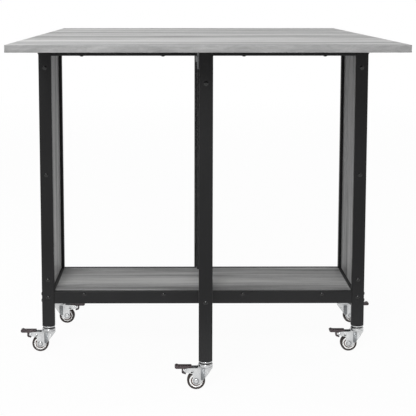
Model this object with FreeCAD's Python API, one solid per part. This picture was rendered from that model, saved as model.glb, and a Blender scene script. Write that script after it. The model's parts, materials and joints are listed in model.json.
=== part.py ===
import FreeCAD, Part
import math
import os

# A trolley dining table with two drop leaves. Each open leaf rests on a gate leg that swings out
# from the trolley, and the whole table rolls on six braked swivel castors.
# Millimetres. X runs along the width, Y along the depth and Z up from the floor.
# The table looks the same after a half turn about Z, so the front half is made and turned for the back.

Vec = FreeCAD.Vector
RIGHT = Vec(1, 0, 0)
BACK = Vec(0, 1, 0)
UP = Vec(0, 0, 1)
FLOOR_CENTRE = Vec(0, 0, 0)
TINY = 1e-6
HEXAGON = 6

# Table top: a fixed centre board and two leaves
TOP_WIDTH = 800.0
TOP_DEPTH = 1200.0
TOP_HEIGHT = 763.0
TOP_BOARD = 15.0
CENTRE_DEPTH = 380.0
LEAF_GAP = 2.0

# Trolley frame of rectangular steel tube
FRAME_WIDTH = 780.0
FRAME_DEPTH = 265.0
TUBE_WIDE = 30.0
TUBE_THIN = 15.0
TUBE_WALL = 1.5
TUBE_CORNER = 2.0
RAIL_END_PLATE = 4.0
LEG_FOOT_PLATE = 8.0
LEG_CAP_PLATE = 2.0

# Shelf and side panels
SHELF_HEIGHT = 149.0
SHELF_BOARD = 15.0
PANEL_BOARD = 15.0
BOARD_GAP = 0.5

# Gates: a leg and a post joined by two rails, swinging on two pivots
GATE_REACH = 256.0
GATE_TOP_DROP = 59.5
GATE_FOOT_RISE = 31.0
GATE_LEAF_GAP = 0.5
SWING_CLEARANCE = 1.0
PIVOT_RADIUS = 4.0
PIVOT_DEPTH = 25.0
PIVOT_BLOCK = 30.0
PIVOT_HEAD_RADIUS = 7.0
PIVOT_HEAD_HEIGHT = 4.0
PIVOT_GAP = 0.5
BRACKET_PLATE = 2.5
BRACKET_NOSE = 14.0
BRACKET_EDGE_GAP = 2.0
UPPER_BRACKET_WIDTH = 30.0
LOWER_BRACKET_WIDTH = 20.0
UPPER_BRACKET_BOLT_PITCH = 12.0

# Running and drilled fits, on the radius
RUNNING_CLEARANCE = 0.05
DRILL_CLEARANCE = 0.1
DRILL_RELIEF = 1.0

# Dome-head frame bolts
BOLT_RADIUS = 3.0
BOLT_HEAD_RADIUS = 5.2
BOLT_HEAD_HEIGHT = 2.4
BOLT_SOCKET_RADIUS = 2.3
BOLT_SOCKET_DEPTH = 1.4
BOLT_GRIP = 4.0
RAIL_BOLT_PITCH = 16.0

# Dome-head screws into the boards
SCREW_RADIUS = 2.5
SCREW_EDGE_BITE = 30.0
SCREW_FACE_BITE = 11.0
PANEL_SCREW_INSET = 28.0
PANEL_SCREWS = 3
RAIL_SCREW_PITCH = 192.0
RAIL_SCREWS = 4

# Butt hinges under the top
HINGE_LENGTH = 60.0
HINGE_INSET = 70.0
HINGES = 3
WING_WIDTH = 30.0
WING_PLATE = 1.6
KNUCKLE_RADIUS = 3.5
KNUCKLE_GAP = 0.5
HINGE_PIN_RADIUS = 2.0
HINGE_SCREW_RADIUS = 1.75
HINGE_SCREW_HEAD_RADIUS = 3.4
HINGE_SCREW_HEAD_HEIGHT = 1.2
HINGE_SCREW_BITE = 10.0
HINGE_SCREW_PITCH = 40.0

# Swivel castors: the fixed stem with its cap
CASTOR_HEIGHT = 63.5
CASTOR_TRAIL = 20.5
CAP_RADIUS = 15.8
CAP_HEIGHT = 7.0
CAP_CROWN_RADIUS = 13.0
CAP_RIM_ROUND = 0.8
CAP_SHOULDER_ROUND = 2.5
STEM_RADIUS = 4.0
STEM_LENGTH = 26.0
STEM_TIP_ROUND = 1.0
STEM_RIVET_RADIUS = 6.0
STEM_RIVET_HEIGHT = 2.5

# Castor fork: a pressed sheet with a round head, two cheeks, a back web and two pedal arms
HEAD_HEIGHT = 4.4
HEAD_TAPER = 1.0
HEAD_LIP = 1.4
HEAD_RIM_ROUND = 0.5
RACE_GAP = 0.3
FORK_PLATE = 2.0
FORK_GAP = 1.0
FORK_BACK_DROP = 4.9
FORK_BACK_ROUND = 3.0
FORK_NECK = 12.0
FORK_NECK_DROP = 5.5
FORK_NECK_ROUND = 8.0
FORK_TOE = 7.3
FORK_TOE_DROP = 10.0
FORK_TOE_ROUND = 7.0
FORK_WEB_HEIGHT = 14.0
ARM_RISE = 5.0
ARM_CROOK = 6.0
ARM_SHOULDER_DROP = 1.8
ARM_ROOT_DROP = 7.6
ARM_FOOT_DROP = 5.4
ARM_FOOT_SETBACK = 4.0
ARM_ROUND = 4.0
ARM_EASE = 2.0
RIB_HEIGHT = 0.8
RIB_BACK = 0.8
RIB_FRONT = 10.4
RIB_TOP_DROP = 3.5
RIB_FRONT_DROP = 3.0
RIB_BACK_RISE = 7.0
RIB_ROUND = 1.5

# Castor wheel
WHEEL_RADIUS = 20.0
WHEEL_WIDTH = 15.0
TYRE_THICKNESS = 4.6
TYRE_ROUNDING = 3.0
HUB_RING_RADIUS = 10.6
HUB_RING_WIDTH = 2.6
HUB_RING_DEPTH = 0.8
HUB_BOSS = 0.7
HUB_EDGE_ROUND = 0.4

# Castor cross pins: axle, pedal pin and spring pin
PIN_HEAD_HEIGHT = 1.2
PIN_HEAD_ROUND = 0.8
AXLE_RADIUS = 3.0
AXLE_HEAD_RADIUS = 4.8
AXLE_HEAD_HEIGHT = 2.2
PEDAL_PIN_RADIUS = 2.0
PEDAL_PIN_HEAD_RADIUS = 3.2
PEDAL_PIN_REACH = 43.8
PEDAL_PIN_HEIGHT = 44.0
SPRING_PIN_RADIUS = 1.5
SPRING_PIN_HEAD_RADIUS = 2.6
SPRING_PIN_REACH = 29.3
SPRING_PIN_HEIGHT = 42.7

# Castor brake pedal
PEDAL_WIDTH = 16.0
PEDAL_LENGTH = 37.4
PEDAL_THICKNESS = 4.3
PEDAL_RISE = 3.9
PEDAL_OVERLAP = 13.3
PEDAL_LIP = 1.2
PEDAL_LIP_LENGTH = 8.5
PEDAL_LIP_CREST = 4.5
PEDAL_LIP_ROUND = 2.0
PEDAL_TOE_CUT = 4.0
PEDAL_EDGE = 0.6
PEDAL_ROUND = 1.2
HOOK_WIDTH = 12.0
HOOK_PLATE = 3.6
HOOK_SETOUT = 8.6
HOOK_DROP = 10.3
HOOK_RETURN = 9.0
HOOK_SLOPE = 3.0
HOOK_ROUND = 2.5
HOOK_EASE = 1.0
LUG_RADIUS = 3.4
LUG_FLAT = 0.1
LUG_WEB = 6.0
LEVER_PLATE = 2.4
LEVER_HEIGHT = 2.2
LEVER_RISE = 1.4
LEVER_SPREAD = 13.6
LEVER_GAP = 0.7

# Levels and planes that follow from the sizes above
underside = TOP_HEIGHT - TOP_BOARD
top_rail_foot = underside - TUBE_WIDE
shelf_rail_foot = SHELF_HEIGHT - TUBE_WIDE
leg_x = (FRAME_WIDTH - TUBE_WIDE) / 2
leg_y = (FRAME_DEPTH - TUBE_THIN) / 2
frame_face = FRAME_DEPTH / 2
rail_inner = frame_face - TUBE_THIN
rail_half = FRAME_WIDTH / 2 - TUBE_WIDE
hinge_line = CENTRE_DEPTH / 2 + LEAF_GAP / 2
pivot_y = frame_face + math.hypot(TUBE_WIDE, TUBE_THIN) / 2 + SWING_CLEARANCE
gate_y = pivot_y + GATE_REACH
gate_top = underside - GATE_TOP_DROP
gate_foot = SHELF_HEIGHT + GATE_FOOT_RISE

nodes = {}


def block(x, y, z):
    """A box from its low and high value on each axis."""
    return Part.makeBox(x[1] - x[0], y[1] - y[0], z[1] - z[0], Vec(x[0], y[0], z[0]))


def around(middle, width):
    """The low and high value of a width centred on a place."""
    return (middle - width / 2, middle + width / 2)


def rod(radius, start, along, length):
    return Part.makeCylinder(radius, length, start, along)


def half_turn(shape):
    """The same shape at the opposite corner of the table."""
    turned_shape = shape.copy()
    turned_shape.rotate(FLOOR_CENTRE, UP, 180)
    return turned_shape


def rounded_along(shape, along, radius):
    """Round the edges that run along one axis."""
    edges = [edge for edge in shape.Edges if edge.tangentAt(edge.FirstParameter).cross(along).Length < TINY]
    return shape.makeFillet(radius, edges)


def tube(x, y, z, along, plates):
    """A rectangular tube with a plate welded into each end, low end first."""
    spans = {"X": x, "Y": y, "Z": z}
    way = {"X": RIGHT, "Y": BACK, "Z": UP}[along]
    hollow = {}
    for name, (low, high) in spans.items():
        if name == along:
            hollow[name] = (low + plates[0], high - plates[1])
        else:
            hollow[name] = (low + TUBE_WALL, high - TUBE_WALL)
    outside = rounded_along(block(x, y, z), way, TUBE_CORNER)
    return outside.cut(block(hollow["X"], hollow["Y"], hollow["Z"]))


def outline(corners):
    """A face in the XZ plane from corners of (x, z, rounding)."""
    stops = []
    for index, (x, z, radius) in enumerate(corners):
        corner = Vec(x, 0, z)
        if radius == 0:
            stops.append((corner, None, corner))
            continue
        before = Vec(corners[index - 1][0], 0, corners[index - 1][1])
        following = corners[(index + 1) % len(corners)]
        after = Vec(following[0], 0, following[1])
        back_way = (before - corner).normalize()
        on_way = (after - corner).normalize()
        half_angle = back_way.getAngle(on_way) / 2
        reach = radius / math.tan(half_angle)
        middle_way = (back_way + on_way).normalize()
        middle = corner + middle_way * (radius / math.sin(half_angle) - radius)
        stops.append((corner + back_way * reach, middle, corner + on_way * reach))
    edges = []
    for index, (start, middle, end) in enumerate(stops):
        if middle is not None:
            edges.append(Part.Arc(start, middle, end).toShape())
        next_start = stops[(index + 1) % len(stops)][0]
        if (next_start - end).Length > TINY:
            edges.append(Part.LineSegment(end, next_start).toShape())
    return Part.Face(Part.Wire(edges))


def plate(corners, y):
    """A flat piece of an outline in the XZ plane, between two Y values."""
    face = outline(corners)
    face.translate(Vec(0, y[0], 0))
    return face.extrude(Vec(0, y[1] - y[0], 0))


def turned(corners, base, along):
    """A piece turned about an axis from a section of (radius, height, rounding)."""
    solid = outline(corners).revolve(FLOOR_CENTRE, UP, 360)
    return stood_on(solid, base, along)


def stood_on(solid, base, along):
    """Move a solid made on the Z axis to a base point, with Z turned to another way."""
    solid.Placement = FreeCAD.Placement(base, FreeCAD.Rotation(UP, along))
    return solid


class Fastener:
    """A dome-head bolt or screw with a hexagon socket, and the hole that it goes through."""

    def __init__(self, seat, into, radius, length, head_radius, head_height):
        self.seat = seat
        self.into = into
        self.radius = radius
        self.length = length
        self.head_radius = head_radius
        self.head_height = head_height

    def solid(self):
        crown = Vec(0, 0, self.head_height)
        rim = Vec(self.head_radius, 0, 0)
        dome_radius = (self.head_radius ** 2 + self.head_height ** 2) / (2 * self.head_height)
        lean = math.asin(self.head_radius / dome_radius) / 2
        shoulder = Vec(
            dome_radius * math.sin(lean),
            0,
            self.head_height - dome_radius * (1 - math.cos(lean)),
        )
        edges = [
            Part.LineSegment(FLOOR_CENTRE, rim).toShape(),
            Part.Arc(rim, shoulder, crown).toShape(),
            Part.LineSegment(crown, FLOOR_CENTRE).toShape(),
        ]
        head = Part.Face(Part.Wire(edges)).revolve(FLOOR_CENTRE, UP, 360)
        socket_share = self.head_radius / BOLT_HEAD_RADIUS
        socket_radius = BOLT_SOCKET_RADIUS * socket_share
        socket_depth = BOLT_SOCKET_DEPTH * self.head_height / BOLT_HEAD_HEIGHT
        floor = self.head_height - socket_depth
        turns = [2 * math.pi * step / HEXAGON for step in range(HEXAGON + 1)]
        ring = [Vec(socket_radius * math.cos(turn), socket_radius * math.sin(turn), floor) for turn in turns]
        socket = Part.Face(Part.makePolygon(ring)).extrude(Vec(0, 0, self.head_height))
        shank = rod(self.radius, Vec(0, 0, -self.length), UP, self.length)
        return stood_on(head.fuse(shank).cut(socket).removeSplitter(), self.seat, self.into * -1)

    def hole(self):
        start = self.seat - self.into * DRILL_RELIEF
        depth = self.length + 2 * DRILL_RELIEF
        return rod(self.radius + DRILL_CLEARANCE, start, self.into, depth)

    def half_turned(self):
        """The same fastener at the opposite corner of the table."""
        spin = FreeCAD.Rotation(UP, 180)
        return Fastener(
            spin.multVec(self.seat),
            spin.multVec(self.into),
            self.radius,
            self.length,
            self.head_radius,
            self.head_height,
        )


def bolt(seat, into, length):
    return Fastener(seat, into, BOLT_RADIUS, length, BOLT_HEAD_RADIUS, BOLT_HEAD_HEIGHT)


def screw(seat, into, length):
    return Fastener(seat, into, SCREW_RADIUS, length, BOLT_HEAD_RADIUS, BOLT_HEAD_HEIGHT)


def hinge_screw(seat):
    return Fastener(
        seat,
        UP,
        HINGE_SCREW_RADIUS,
        WING_PLATE + HINGE_SCREW_BITE,
        HINGE_SCREW_HEAD_RADIUS,
        HINGE_SCREW_HEAD_HEIGHT,
    )


def drilled(shape, fasteners):
    """Cut the holes of the fasteners that reach a piece."""
    holes = [fastener.hole() for fastener in fasteners]
    near = [hole for hole in holes if hole.BoundBox.intersect(shape.BoundBox)]
    return shape.cut(near) if near else shape


def evenly(count, pitch):
    """Places of a row of things, centred on zero."""
    return [(index - (count - 1) / 2) * pitch for index in range(count)]


def both_ends(fasteners):
    return fasteners + [fastener.half_turned() for fastener in fasteners]


def frame_bolt_row():
    """Bolts of the front half: two into each rail end, one into each side rail end."""
    bolts = []
    rail_middles = [top_rail_foot + TUBE_WIDE / 2, shelf_rail_foot + TUBE_WIDE / 2]
    rail_reach = TUBE_WIDE + RAIL_END_PLATE + BOLT_GRIP
    side_reach = TUBE_THIN + RAIL_END_PLATE + BOLT_GRIP
    for side in (-1, 1):
        for middle in rail_middles:
            for offset in evenly(2, RAIL_BOLT_PITCH):
                seat = Vec(side * FRAME_WIDTH / 2, -leg_y, middle + offset)
                bolts.append(bolt(seat, RIGHT * -side, rail_reach))
            bolts.append(bolt(Vec(side * leg_x, -frame_face, middle), BACK, side_reach))
    return bolts


def bracket_bolt_row():
    """Bolts that hold the front pivot brackets to the rails."""
    reach = BRACKET_PLATE + TUBE_WALL + BOLT_GRIP
    face = -frame_face - BRACKET_PLATE
    high = top_rail_foot + TUBE_WIDE / 2
    low = shelf_rail_foot + TUBE_WIDE / 2
    bolts = [bolt(Vec(x, face, high), BACK, reach) for x in evenly(2, UPPER_BRACKET_BOLT_PITCH)]
    bolts += [bolt(Vec(0, face, low + offset), BACK, reach) for offset in evenly(2, UPPER_BRACKET_BOLT_PITCH)]
    return bolts


def board_screw_row():
    """Screws of the front half into the side panels, the shelf and the centre board."""
    screws = []
    panel_middle = (SHELF_HEIGHT + top_rail_foot) / 2
    panel_pitch = (top_rail_foot - SHELF_HEIGHT - 2 * PANEL_SCREW_INSET) / (PANEL_SCREWS - 1)
    edge_reach = TUBE_THIN + SCREW_EDGE_BITE
    for side in (-1, 1):
        for offset in evenly(PANEL_SCREWS, panel_pitch):
            seat = Vec(side * leg_x, -frame_face, panel_middle + offset)
            screws.append(screw(seat, BACK, edge_reach))
    for x in evenly(RAIL_SCREWS, RAIL_SCREW_PITCH):
        shelf_seat = Vec(x, -frame_face, SHELF_HEIGHT - SHELF_BOARD / 2)
        screws.append(screw(shelf_seat, BACK, edge_reach))
        screws.append(screw(Vec(x, -leg_y, top_rail_foot), UP, TUBE_WIDE + SCREW_FACE_BITE))
    return screws


def hinge_places():
    pitch = (TOP_WIDTH - 2 * HINGE_INSET) / (HINGES - 1)
    return evenly(HINGES, pitch)


def hinge_screw_row(side):
    """Screws of one row of hinge wings: side 1 is under the centre board, -1 under the front leaf."""
    across = -hinge_line + side * (KNUCKLE_RADIUS + KNUCKLE_GAP + WING_WIDTH) / 2
    return [
        hinge_screw(Vec(x + offset, across, underside - WING_PLATE))
        for x in hinge_places()
        for offset in evenly(2, HINGE_SCREW_PITCH)
    ]


def hinge_wing(x, side, knuckles):
    """One wing of a butt hinge with its knuckles, each a span along X from the hinge's middle."""
    axis = Vec(x, -hinge_line, underside - KNUCKLE_RADIUS)
    near = KNUCKLE_RADIUS + KNUCKLE_GAP
    edges = sorted((-hinge_line + side * near, -hinge_line + side * WING_WIDTH))
    level = (underside - WING_PLATE, underside)
    wing = block(around(x, HINGE_LENGTH), edges, level)
    for low, high in knuckles:
        barrel = rod(KNUCKLE_RADIUS, axis + RIGHT * low, RIGHT, high - low)
        neck_edges = sorted((-hinge_line, -hinge_line + side * near))
        neck = block((x + low, x + high), neck_edges, level)
        wing = wing.fuse([barrel, neck])
    bore = rod(HINGE_PIN_RADIUS + RUNNING_CLEARANCE, axis - RIGHT * HINGE_LENGTH, RIGHT, 2 * HINGE_LENGTH)
    return wing.cut(bore).removeSplitter()


def hinge_rows():
    """Fixed wings, leaf wings and pins of the front hinges."""
    third = HINGE_LENGTH / 3
    half = HINGE_LENGTH / 2
    outer = [(-half, -third / 2 - KNUCKLE_GAP / 2), (third / 2 + KNUCKLE_GAP / 2, half)]
    inner = [(-third / 2 + KNUCKLE_GAP / 2, third / 2 - KNUCKLE_GAP / 2)]
    fixed = [drilled(hinge_wing(x, 1, outer), hinge_screw_row(1)) for x in hinge_places()]
    moving = [drilled(hinge_wing(x, -1, inner), hinge_screw_row(-1)) for x in hinge_places()]
    pins = [
        rod(HINGE_PIN_RADIUS, Vec(x - half, -hinge_line, underside - KNUCKLE_RADIUS), RIGHT, HINGE_LENGTH)
        for x in hinge_places()
    ]
    return fixed, moving, pins


def pivot_bracket(width, plate_z, arm_z, cheek_z):
    """A pressed bracket on a front rail: back plate, arm with the pivot hole, two cheeks."""
    half = width / 2
    back = (-frame_face - BRACKET_PLATE, -frame_face)
    reach = (-pivot_y - BRACKET_NOSE, -frame_face)
    piece = block((-half, half), back, plate_z)
    piece = piece.fuse(block((-half, half), reach, arm_z))
    for side in (-1, 1):
        cheek_x = sorted((side * half, side * (half - BRACKET_PLATE)))
        piece = piece.fuse(block(cheek_x, reach, cheek_z))
    hole = rod(PIVOT_RADIUS + RUNNING_CLEARANCE, Vec(0, -pivot_y, arm_z[0]), UP, arm_z[1] - arm_z[0])
    return drilled(piece.cut(hole).removeSplitter(), bracket_bolt_row())


def pivot_pair():
    """Brackets and pins of the front gate: the upper arm lies on the post, the lower one under the gate."""
    upper_arm = (gate_top + PIVOT_GAP, gate_top + PIVOT_GAP + BRACKET_PLATE)
    lower_arm = (gate_foot - PIVOT_GAP - BRACKET_PLATE, gate_foot - PIVOT_GAP)
    upper = pivot_bracket(
        UPPER_BRACKET_WIDTH,
        (upper_arm[0], underside - BRACKET_EDGE_GAP),
        upper_arm,
        (upper_arm[0], top_rail_foot - BRACKET_EDGE_GAP),
    )
    lower = pivot_bracket(
        LOWER_BRACKET_WIDTH,
        (shelf_rail_foot + BRACKET_EDGE_GAP, lower_arm[1]),
        lower_arm,
        (SHELF_HEIGHT + BRACKET_EDGE_GAP, lower_arm[1]),
    )
    pin_length = BRACKET_PLATE + PIVOT_GAP + PIVOT_DEPTH
    pins = []
    for top, way in ((upper_arm[1], -1), (lower_arm[0], 1)):
        seat = Vec(0, -pivot_y, top)
        pin = rod(PIVOT_RADIUS, seat, UP * way, pin_length)
        head = rod(PIVOT_HEAD_RADIUS, seat, UP * -way, PIVOT_HEAD_HEIGHT)
        pins.append(pin.fuse(head).removeSplitter())
    return [upper, lower], pins


def gate_bolt_row():
    face = -gate_y - TUBE_THIN / 2
    reach = TUBE_THIN + RAIL_END_PLATE + BOLT_GRIP
    heights = (gate_top - TUBE_WIDE / 2, gate_foot + TUBE_WIDE / 2)
    return [bolt(Vec(0, face, height), BACK, reach) for height in heights]


def gate():
    """Leg, post and rails of the front gate, swung out."""
    bolts = gate_bolt_row()
    leg_back = -gate_y + TUBE_THIN / 2
    leg = tube(
        around(0, TUBE_WIDE),
        around(-gate_y, TUBE_THIN),
        (CASTOR_HEIGHT, underside - GATE_LEAF_GAP),
        "Z",
        (LEG_FOOT_PLATE, LEG_CAP_PLATE),
    )
    leg = drilled(leg, bolts).cut(stem_hole(Vec(0, -gate_y, CASTOR_HEIGHT)))
    post = tube(
        around(0, TUBE_WIDE),
        around(-pivot_y, TUBE_THIN),
        (gate_foot + TUBE_WIDE, gate_top),
        "Z",
        (LEG_CAP_PLATE, PIVOT_BLOCK),
    )
    bore_radius = PIVOT_RADIUS + RUNNING_CLEARANCE
    post = post.cut(rod(bore_radius, Vec(0, -pivot_y, gate_top), UP * -1, PIVOT_BLOCK))
    upper = tube(
        around(0, TUBE_THIN),
        (leg_back, -pivot_y - TUBE_THIN / 2),
        (gate_top - TUBE_WIDE, gate_top),
        "Y",
        (RAIL_END_PLATE, RAIL_END_PLATE),
    )
    lower = tube(
        around(0, TUBE_THIN),
        (leg_back, -pivot_y + TUBE_THIN / 2),
        (gate_foot, gate_foot + TUBE_WIDE),
        "Y",
        (RAIL_END_PLATE, PIVOT_BLOCK),
    )
    lower = lower.cut(rod(bore_radius, Vec(0, -pivot_y, gate_foot), UP, PIVOT_DEPTH + DRILL_RELIEF))
    return leg, post, [drilled(upper, bolts), drilled(lower, bolts)]


def stem_hole(foot):
    return rod(STEM_RADIUS + DRILL_CLEARANCE, foot, UP, LEG_FOOT_PLATE)


def castor_stem(foot):
    """The fixed part of a castor: threaded stem, domed cap and the rivet that carries the fork."""
    drop = CAP_HEIGHT + RACE_GAP + HEAD_HEIGHT + FORK_PLATE + RACE_GAP
    section = [
        (0, STEM_LENGTH, 0),
        (STEM_RADIUS, STEM_LENGTH, STEM_TIP_ROUND),
        (STEM_RADIUS, 0, 0),
        (CAP_CROWN_RADIUS, 0, CAP_RIM_ROUND),
        (CAP_RADIUS, -CAP_HEIGHT / 2, CAP_SHOULDER_ROUND),
        (CAP_RADIUS, -CAP_HEIGHT, CAP_RIM_ROUND),
        (STEM_RADIUS, -CAP_HEIGHT, 0),
        (STEM_RADIUS, -drop, 0),
        (STEM_RIVET_RADIUS, -drop, 0),
        (STEM_RIVET_RADIUS, -drop - STEM_RIVET_HEIGHT, STEM_TIP_ROUND),
        (0, -drop - STEM_RIVET_HEIGHT, 0),
    ]
    return turned(section, foot, UP)


def cheek_outline(plate_top):
    """One cheek of the fork, from the back of the crown round the axle to the pedal arm."""
    lug_round = LUG_RADIUS - LUG_FLAT
    toe = CASTOR_TRAIL + FORK_TOE
    arm_end = PEDAL_PIN_REACH + LUG_RADIUS
    return [
        (-CAP_RADIUS, plate_top, 0),
        (-CAP_RADIUS, plate_top - FORK_BACK_DROP, FORK_BACK_ROUND),
        (CASTOR_TRAIL - FORK_NECK, WHEEL_RADIUS - FORK_NECK_DROP, FORK_NECK_ROUND),
        (toe, WHEEL_RADIUS - FORK_TOE_DROP, FORK_TOE_ROUND),
        (toe, PEDAL_PIN_HEIGHT - ARM_ROOT_DROP, ARM_ROUND),
        (PEDAL_PIN_REACH - ARM_FOOT_SETBACK, PEDAL_PIN_HEIGHT - ARM_FOOT_DROP, ARM_EASE),
        (arm_end, PEDAL_PIN_HEIGHT - LUG_RADIUS, lug_round),
        (arm_end, PEDAL_PIN_HEIGHT + LUG_RADIUS, lug_round),
        (PEDAL_PIN_REACH - ARM_CROOK, PEDAL_PIN_HEIGHT + ARM_RISE, ARM_ROUND),
        (CAP_RADIUS, plate_top - ARM_SHOULDER_DROP, ARM_EASE / 2),
        (CAP_RADIUS, plate_top, 0),
    ]


def web_outline(plate_top):
    """Section of the back web, which follows the sloping back edge of the cheeks."""
    bend = plate_top - FORK_BACK_DROP
    slope = (CASTOR_TRAIL - FORK_NECK + CAP_RADIUS) / (bend - WHEEL_RADIUS + FORK_NECK_DROP)
    foot = plate_top - FORK_WEB_HEIGHT
    foot_x = -CAP_RADIUS + (bend - foot) * slope
    return [
        (-CAP_RADIUS, plate_top, 0),
        (-CAP_RADIUS, bend, FORK_BACK_ROUND),
        (foot_x, foot, 0),
        (foot_x + FORK_PLATE, foot, 0),
        (-CAP_RADIUS + FORK_PLATE, bend, FORK_BACK_ROUND - FORK_PLATE / 2),
        (-CAP_RADIUS + FORK_PLATE, plate_top, 0),
    ]


def fork():
    """Zinc-plated fork at the origin, trailing along +X, with its axle, pedal pin and spring pin."""
    head_top = CASTOR_HEIGHT - CAP_HEIGHT - RACE_GAP
    plate_top = head_top - HEAD_HEIGHT
    inner = WHEEL_WIDTH / 2 + FORK_GAP
    outer = inner + FORK_PLATE
    cheek = cheek_outline(plate_top)
    rib = [
        (RIB_BACK, plate_top - RIB_TOP_DROP, RIB_ROUND),
        (RIB_FRONT, plate_top - RIB_TOP_DROP, RIB_ROUND),
        (RIB_FRONT, WHEEL_RADIUS - RIB_FRONT_DROP, RIB_ROUND),
        (RIB_BACK, WHEEL_RADIUS + RIB_BACK_RISE, RIB_ROUND),
    ]
    head = [
        (0, plate_top, 0),
        (CAP_RADIUS - HEAD_TAPER, plate_top, 0),
        (CAP_RADIUS, head_top - HEAD_LIP, HEAD_TAPER),
        (CAP_RADIUS, head_top, HEAD_RIM_ROUND),
        (0, head_top, 0),
    ]
    crown = block((-CAP_RADIUS, CAP_RADIUS), (-outer, outer), (plate_top - FORK_PLATE, plate_top))
    body = crown.fuse([turned(head, FLOOR_CENTRE, UP), plate(web_outline(plate_top), (-outer, outer))])
    for side in (-1, 1):
        body = body.fuse(plate(cheek, sorted((side * inner, side * outer))))
        body = body.fuse(plate(rib, sorted((side * outer, side * (outer + RIB_HEIGHT)))))
    body = body.cut(rod(STEM_RADIUS + RUNNING_CLEARANCE, FLOOR_CENTRE, UP, CASTOR_HEIGHT))
    axle_place = Vec(CASTOR_TRAIL, 0, WHEEL_RADIUS)
    pin_place = Vec(PEDAL_PIN_REACH, 0, PEDAL_PIN_HEIGHT)
    spring_place = Vec(SPRING_PIN_REACH, 0, SPRING_PIN_HEIGHT)
    pins = [
        cross_pin(axle_place, AXLE_RADIUS, AXLE_HEAD_RADIUS, AXLE_HEAD_HEIGHT, outer),
        cross_pin(pin_place, PEDAL_PIN_RADIUS, PEDAL_PIN_HEAD_RADIUS, PIN_HEAD_HEIGHT, outer),
        cross_pin(spring_place, SPRING_PIN_RADIUS, SPRING_PIN_HEAD_RADIUS, PIN_HEAD_HEIGHT, outer),
    ]
    body = body.cut([hole for pin, hole in pins])
    return [body.removeSplitter()] + [pin for pin, hole in pins]


def cross_pin(place, radius, head_radius, head_height, half_grip):
    """A pin along Y with a rounded head at each end, and the hole for it."""
    section = [
        (0, -half_grip - head_height, 0),
        (head_radius, -half_grip - head_height, PIN_HEAD_ROUND),
        (head_radius, -half_grip, 0),
        (radius, -half_grip, 0),
        (radius, half_grip, 0),
        (head_radius, half_grip, 0),
        (head_radius, half_grip + head_height, PIN_HEAD_ROUND),
        (0, half_grip + head_height, 0),
    ]
    hole = rod(radius + RUNNING_CLEARANCE, place - BACK * half_grip, BACK, 2 * half_grip)
    return turned(section, place, BACK), hole


def wheel():
    """White hub with a recessed ring on each face, and the tyre round it."""
    rim = WHEEL_RADIUS - TYRE_THICKNESS
    half = WHEEL_WIDTH / 2
    boss = half + HUB_BOSS
    floor = half - HUB_RING_DEPTH
    ring_in = HUB_RING_RADIUS - HUB_RING_WIDTH
    bore = AXLE_RADIUS + RUNNING_CLEARANCE
    seat = rim - RUNNING_CLEARANCE
    section = [
        (bore, -boss, 0),
        (ring_in, -boss, HUB_EDGE_ROUND),
        (ring_in, -floor, 0),
        (HUB_RING_RADIUS, -floor, 0),
        (HUB_RING_RADIUS, -half, HUB_EDGE_ROUND),
        (seat, -half, HUB_EDGE_ROUND),
        (seat, half, HUB_EDGE_ROUND),
        (HUB_RING_RADIUS, half, HUB_EDGE_ROUND),
        (HUB_RING_RADIUS, floor, 0),
        (ring_in, floor, 0),
        (ring_in, boss, HUB_EDGE_ROUND),
        (bore, boss, 0),
    ]
    tread = [
        (rim, -half, HUB_EDGE_ROUND),
        (WHEEL_RADIUS, -half, TYRE_ROUNDING),
        (WHEEL_RADIUS, half, TYRE_ROUNDING),
        (rim, half, HUB_EDGE_ROUND),
    ]
    centre = Vec(CASTOR_TRAIL, 0, WHEEL_RADIUS)
    return turned(section, centre, BACK), turned(tread, centre, BACK)


def pad_outline(near, foot, hook_in):
    """The toe pad in side view, with its lip at the outer end."""
    top = foot + PEDAL_THICKNESS
    far = near + PEDAL_LENGTH
    return [
        (near, foot + PEDAL_EDGE, PEDAL_EDGE / 2),
        (near, top, PEDAL_ROUND),
        (far - PEDAL_LIP_LENGTH, top, 3 * PEDAL_LIP_ROUND),
        (far - PEDAL_LIP_CREST, top + PEDAL_LIP, PEDAL_LIP_ROUND),
        (far, top - PEDAL_EDGE, PEDAL_ROUND),
        (far - PEDAL_EDGE, foot + PEDAL_ROUND, PEDAL_ROUND),
        (far - PEDAL_TOE_CUT, foot, PEDAL_ROUND),
        (hook_in, foot, 0),
    ]


def hook_outline(hook_out, pad_foot):
    """The hook under the pad: it drops past the arms and turns back towards the tyre."""
    hook_in = hook_out - HOOK_PLATE
    foot = PEDAL_PIN_HEIGHT - HOOK_DROP
    tip = hook_out - HOOK_RETURN
    return [
        (hook_in, pad_foot + PEDAL_ROUND, 0),
        (hook_out, pad_foot + PEDAL_ROUND, 0),
        (hook_out, foot + HOOK_SLOPE, HOOK_ROUND),
        (tip, foot, HOOK_EASE),
        (tip - HOOK_EASE, foot + HOOK_PLATE - HOOK_EASE, HOOK_EASE),
        (hook_in, foot + HOOK_SLOPE + HOOK_EASE, HOOK_EASE),
    ]


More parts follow.
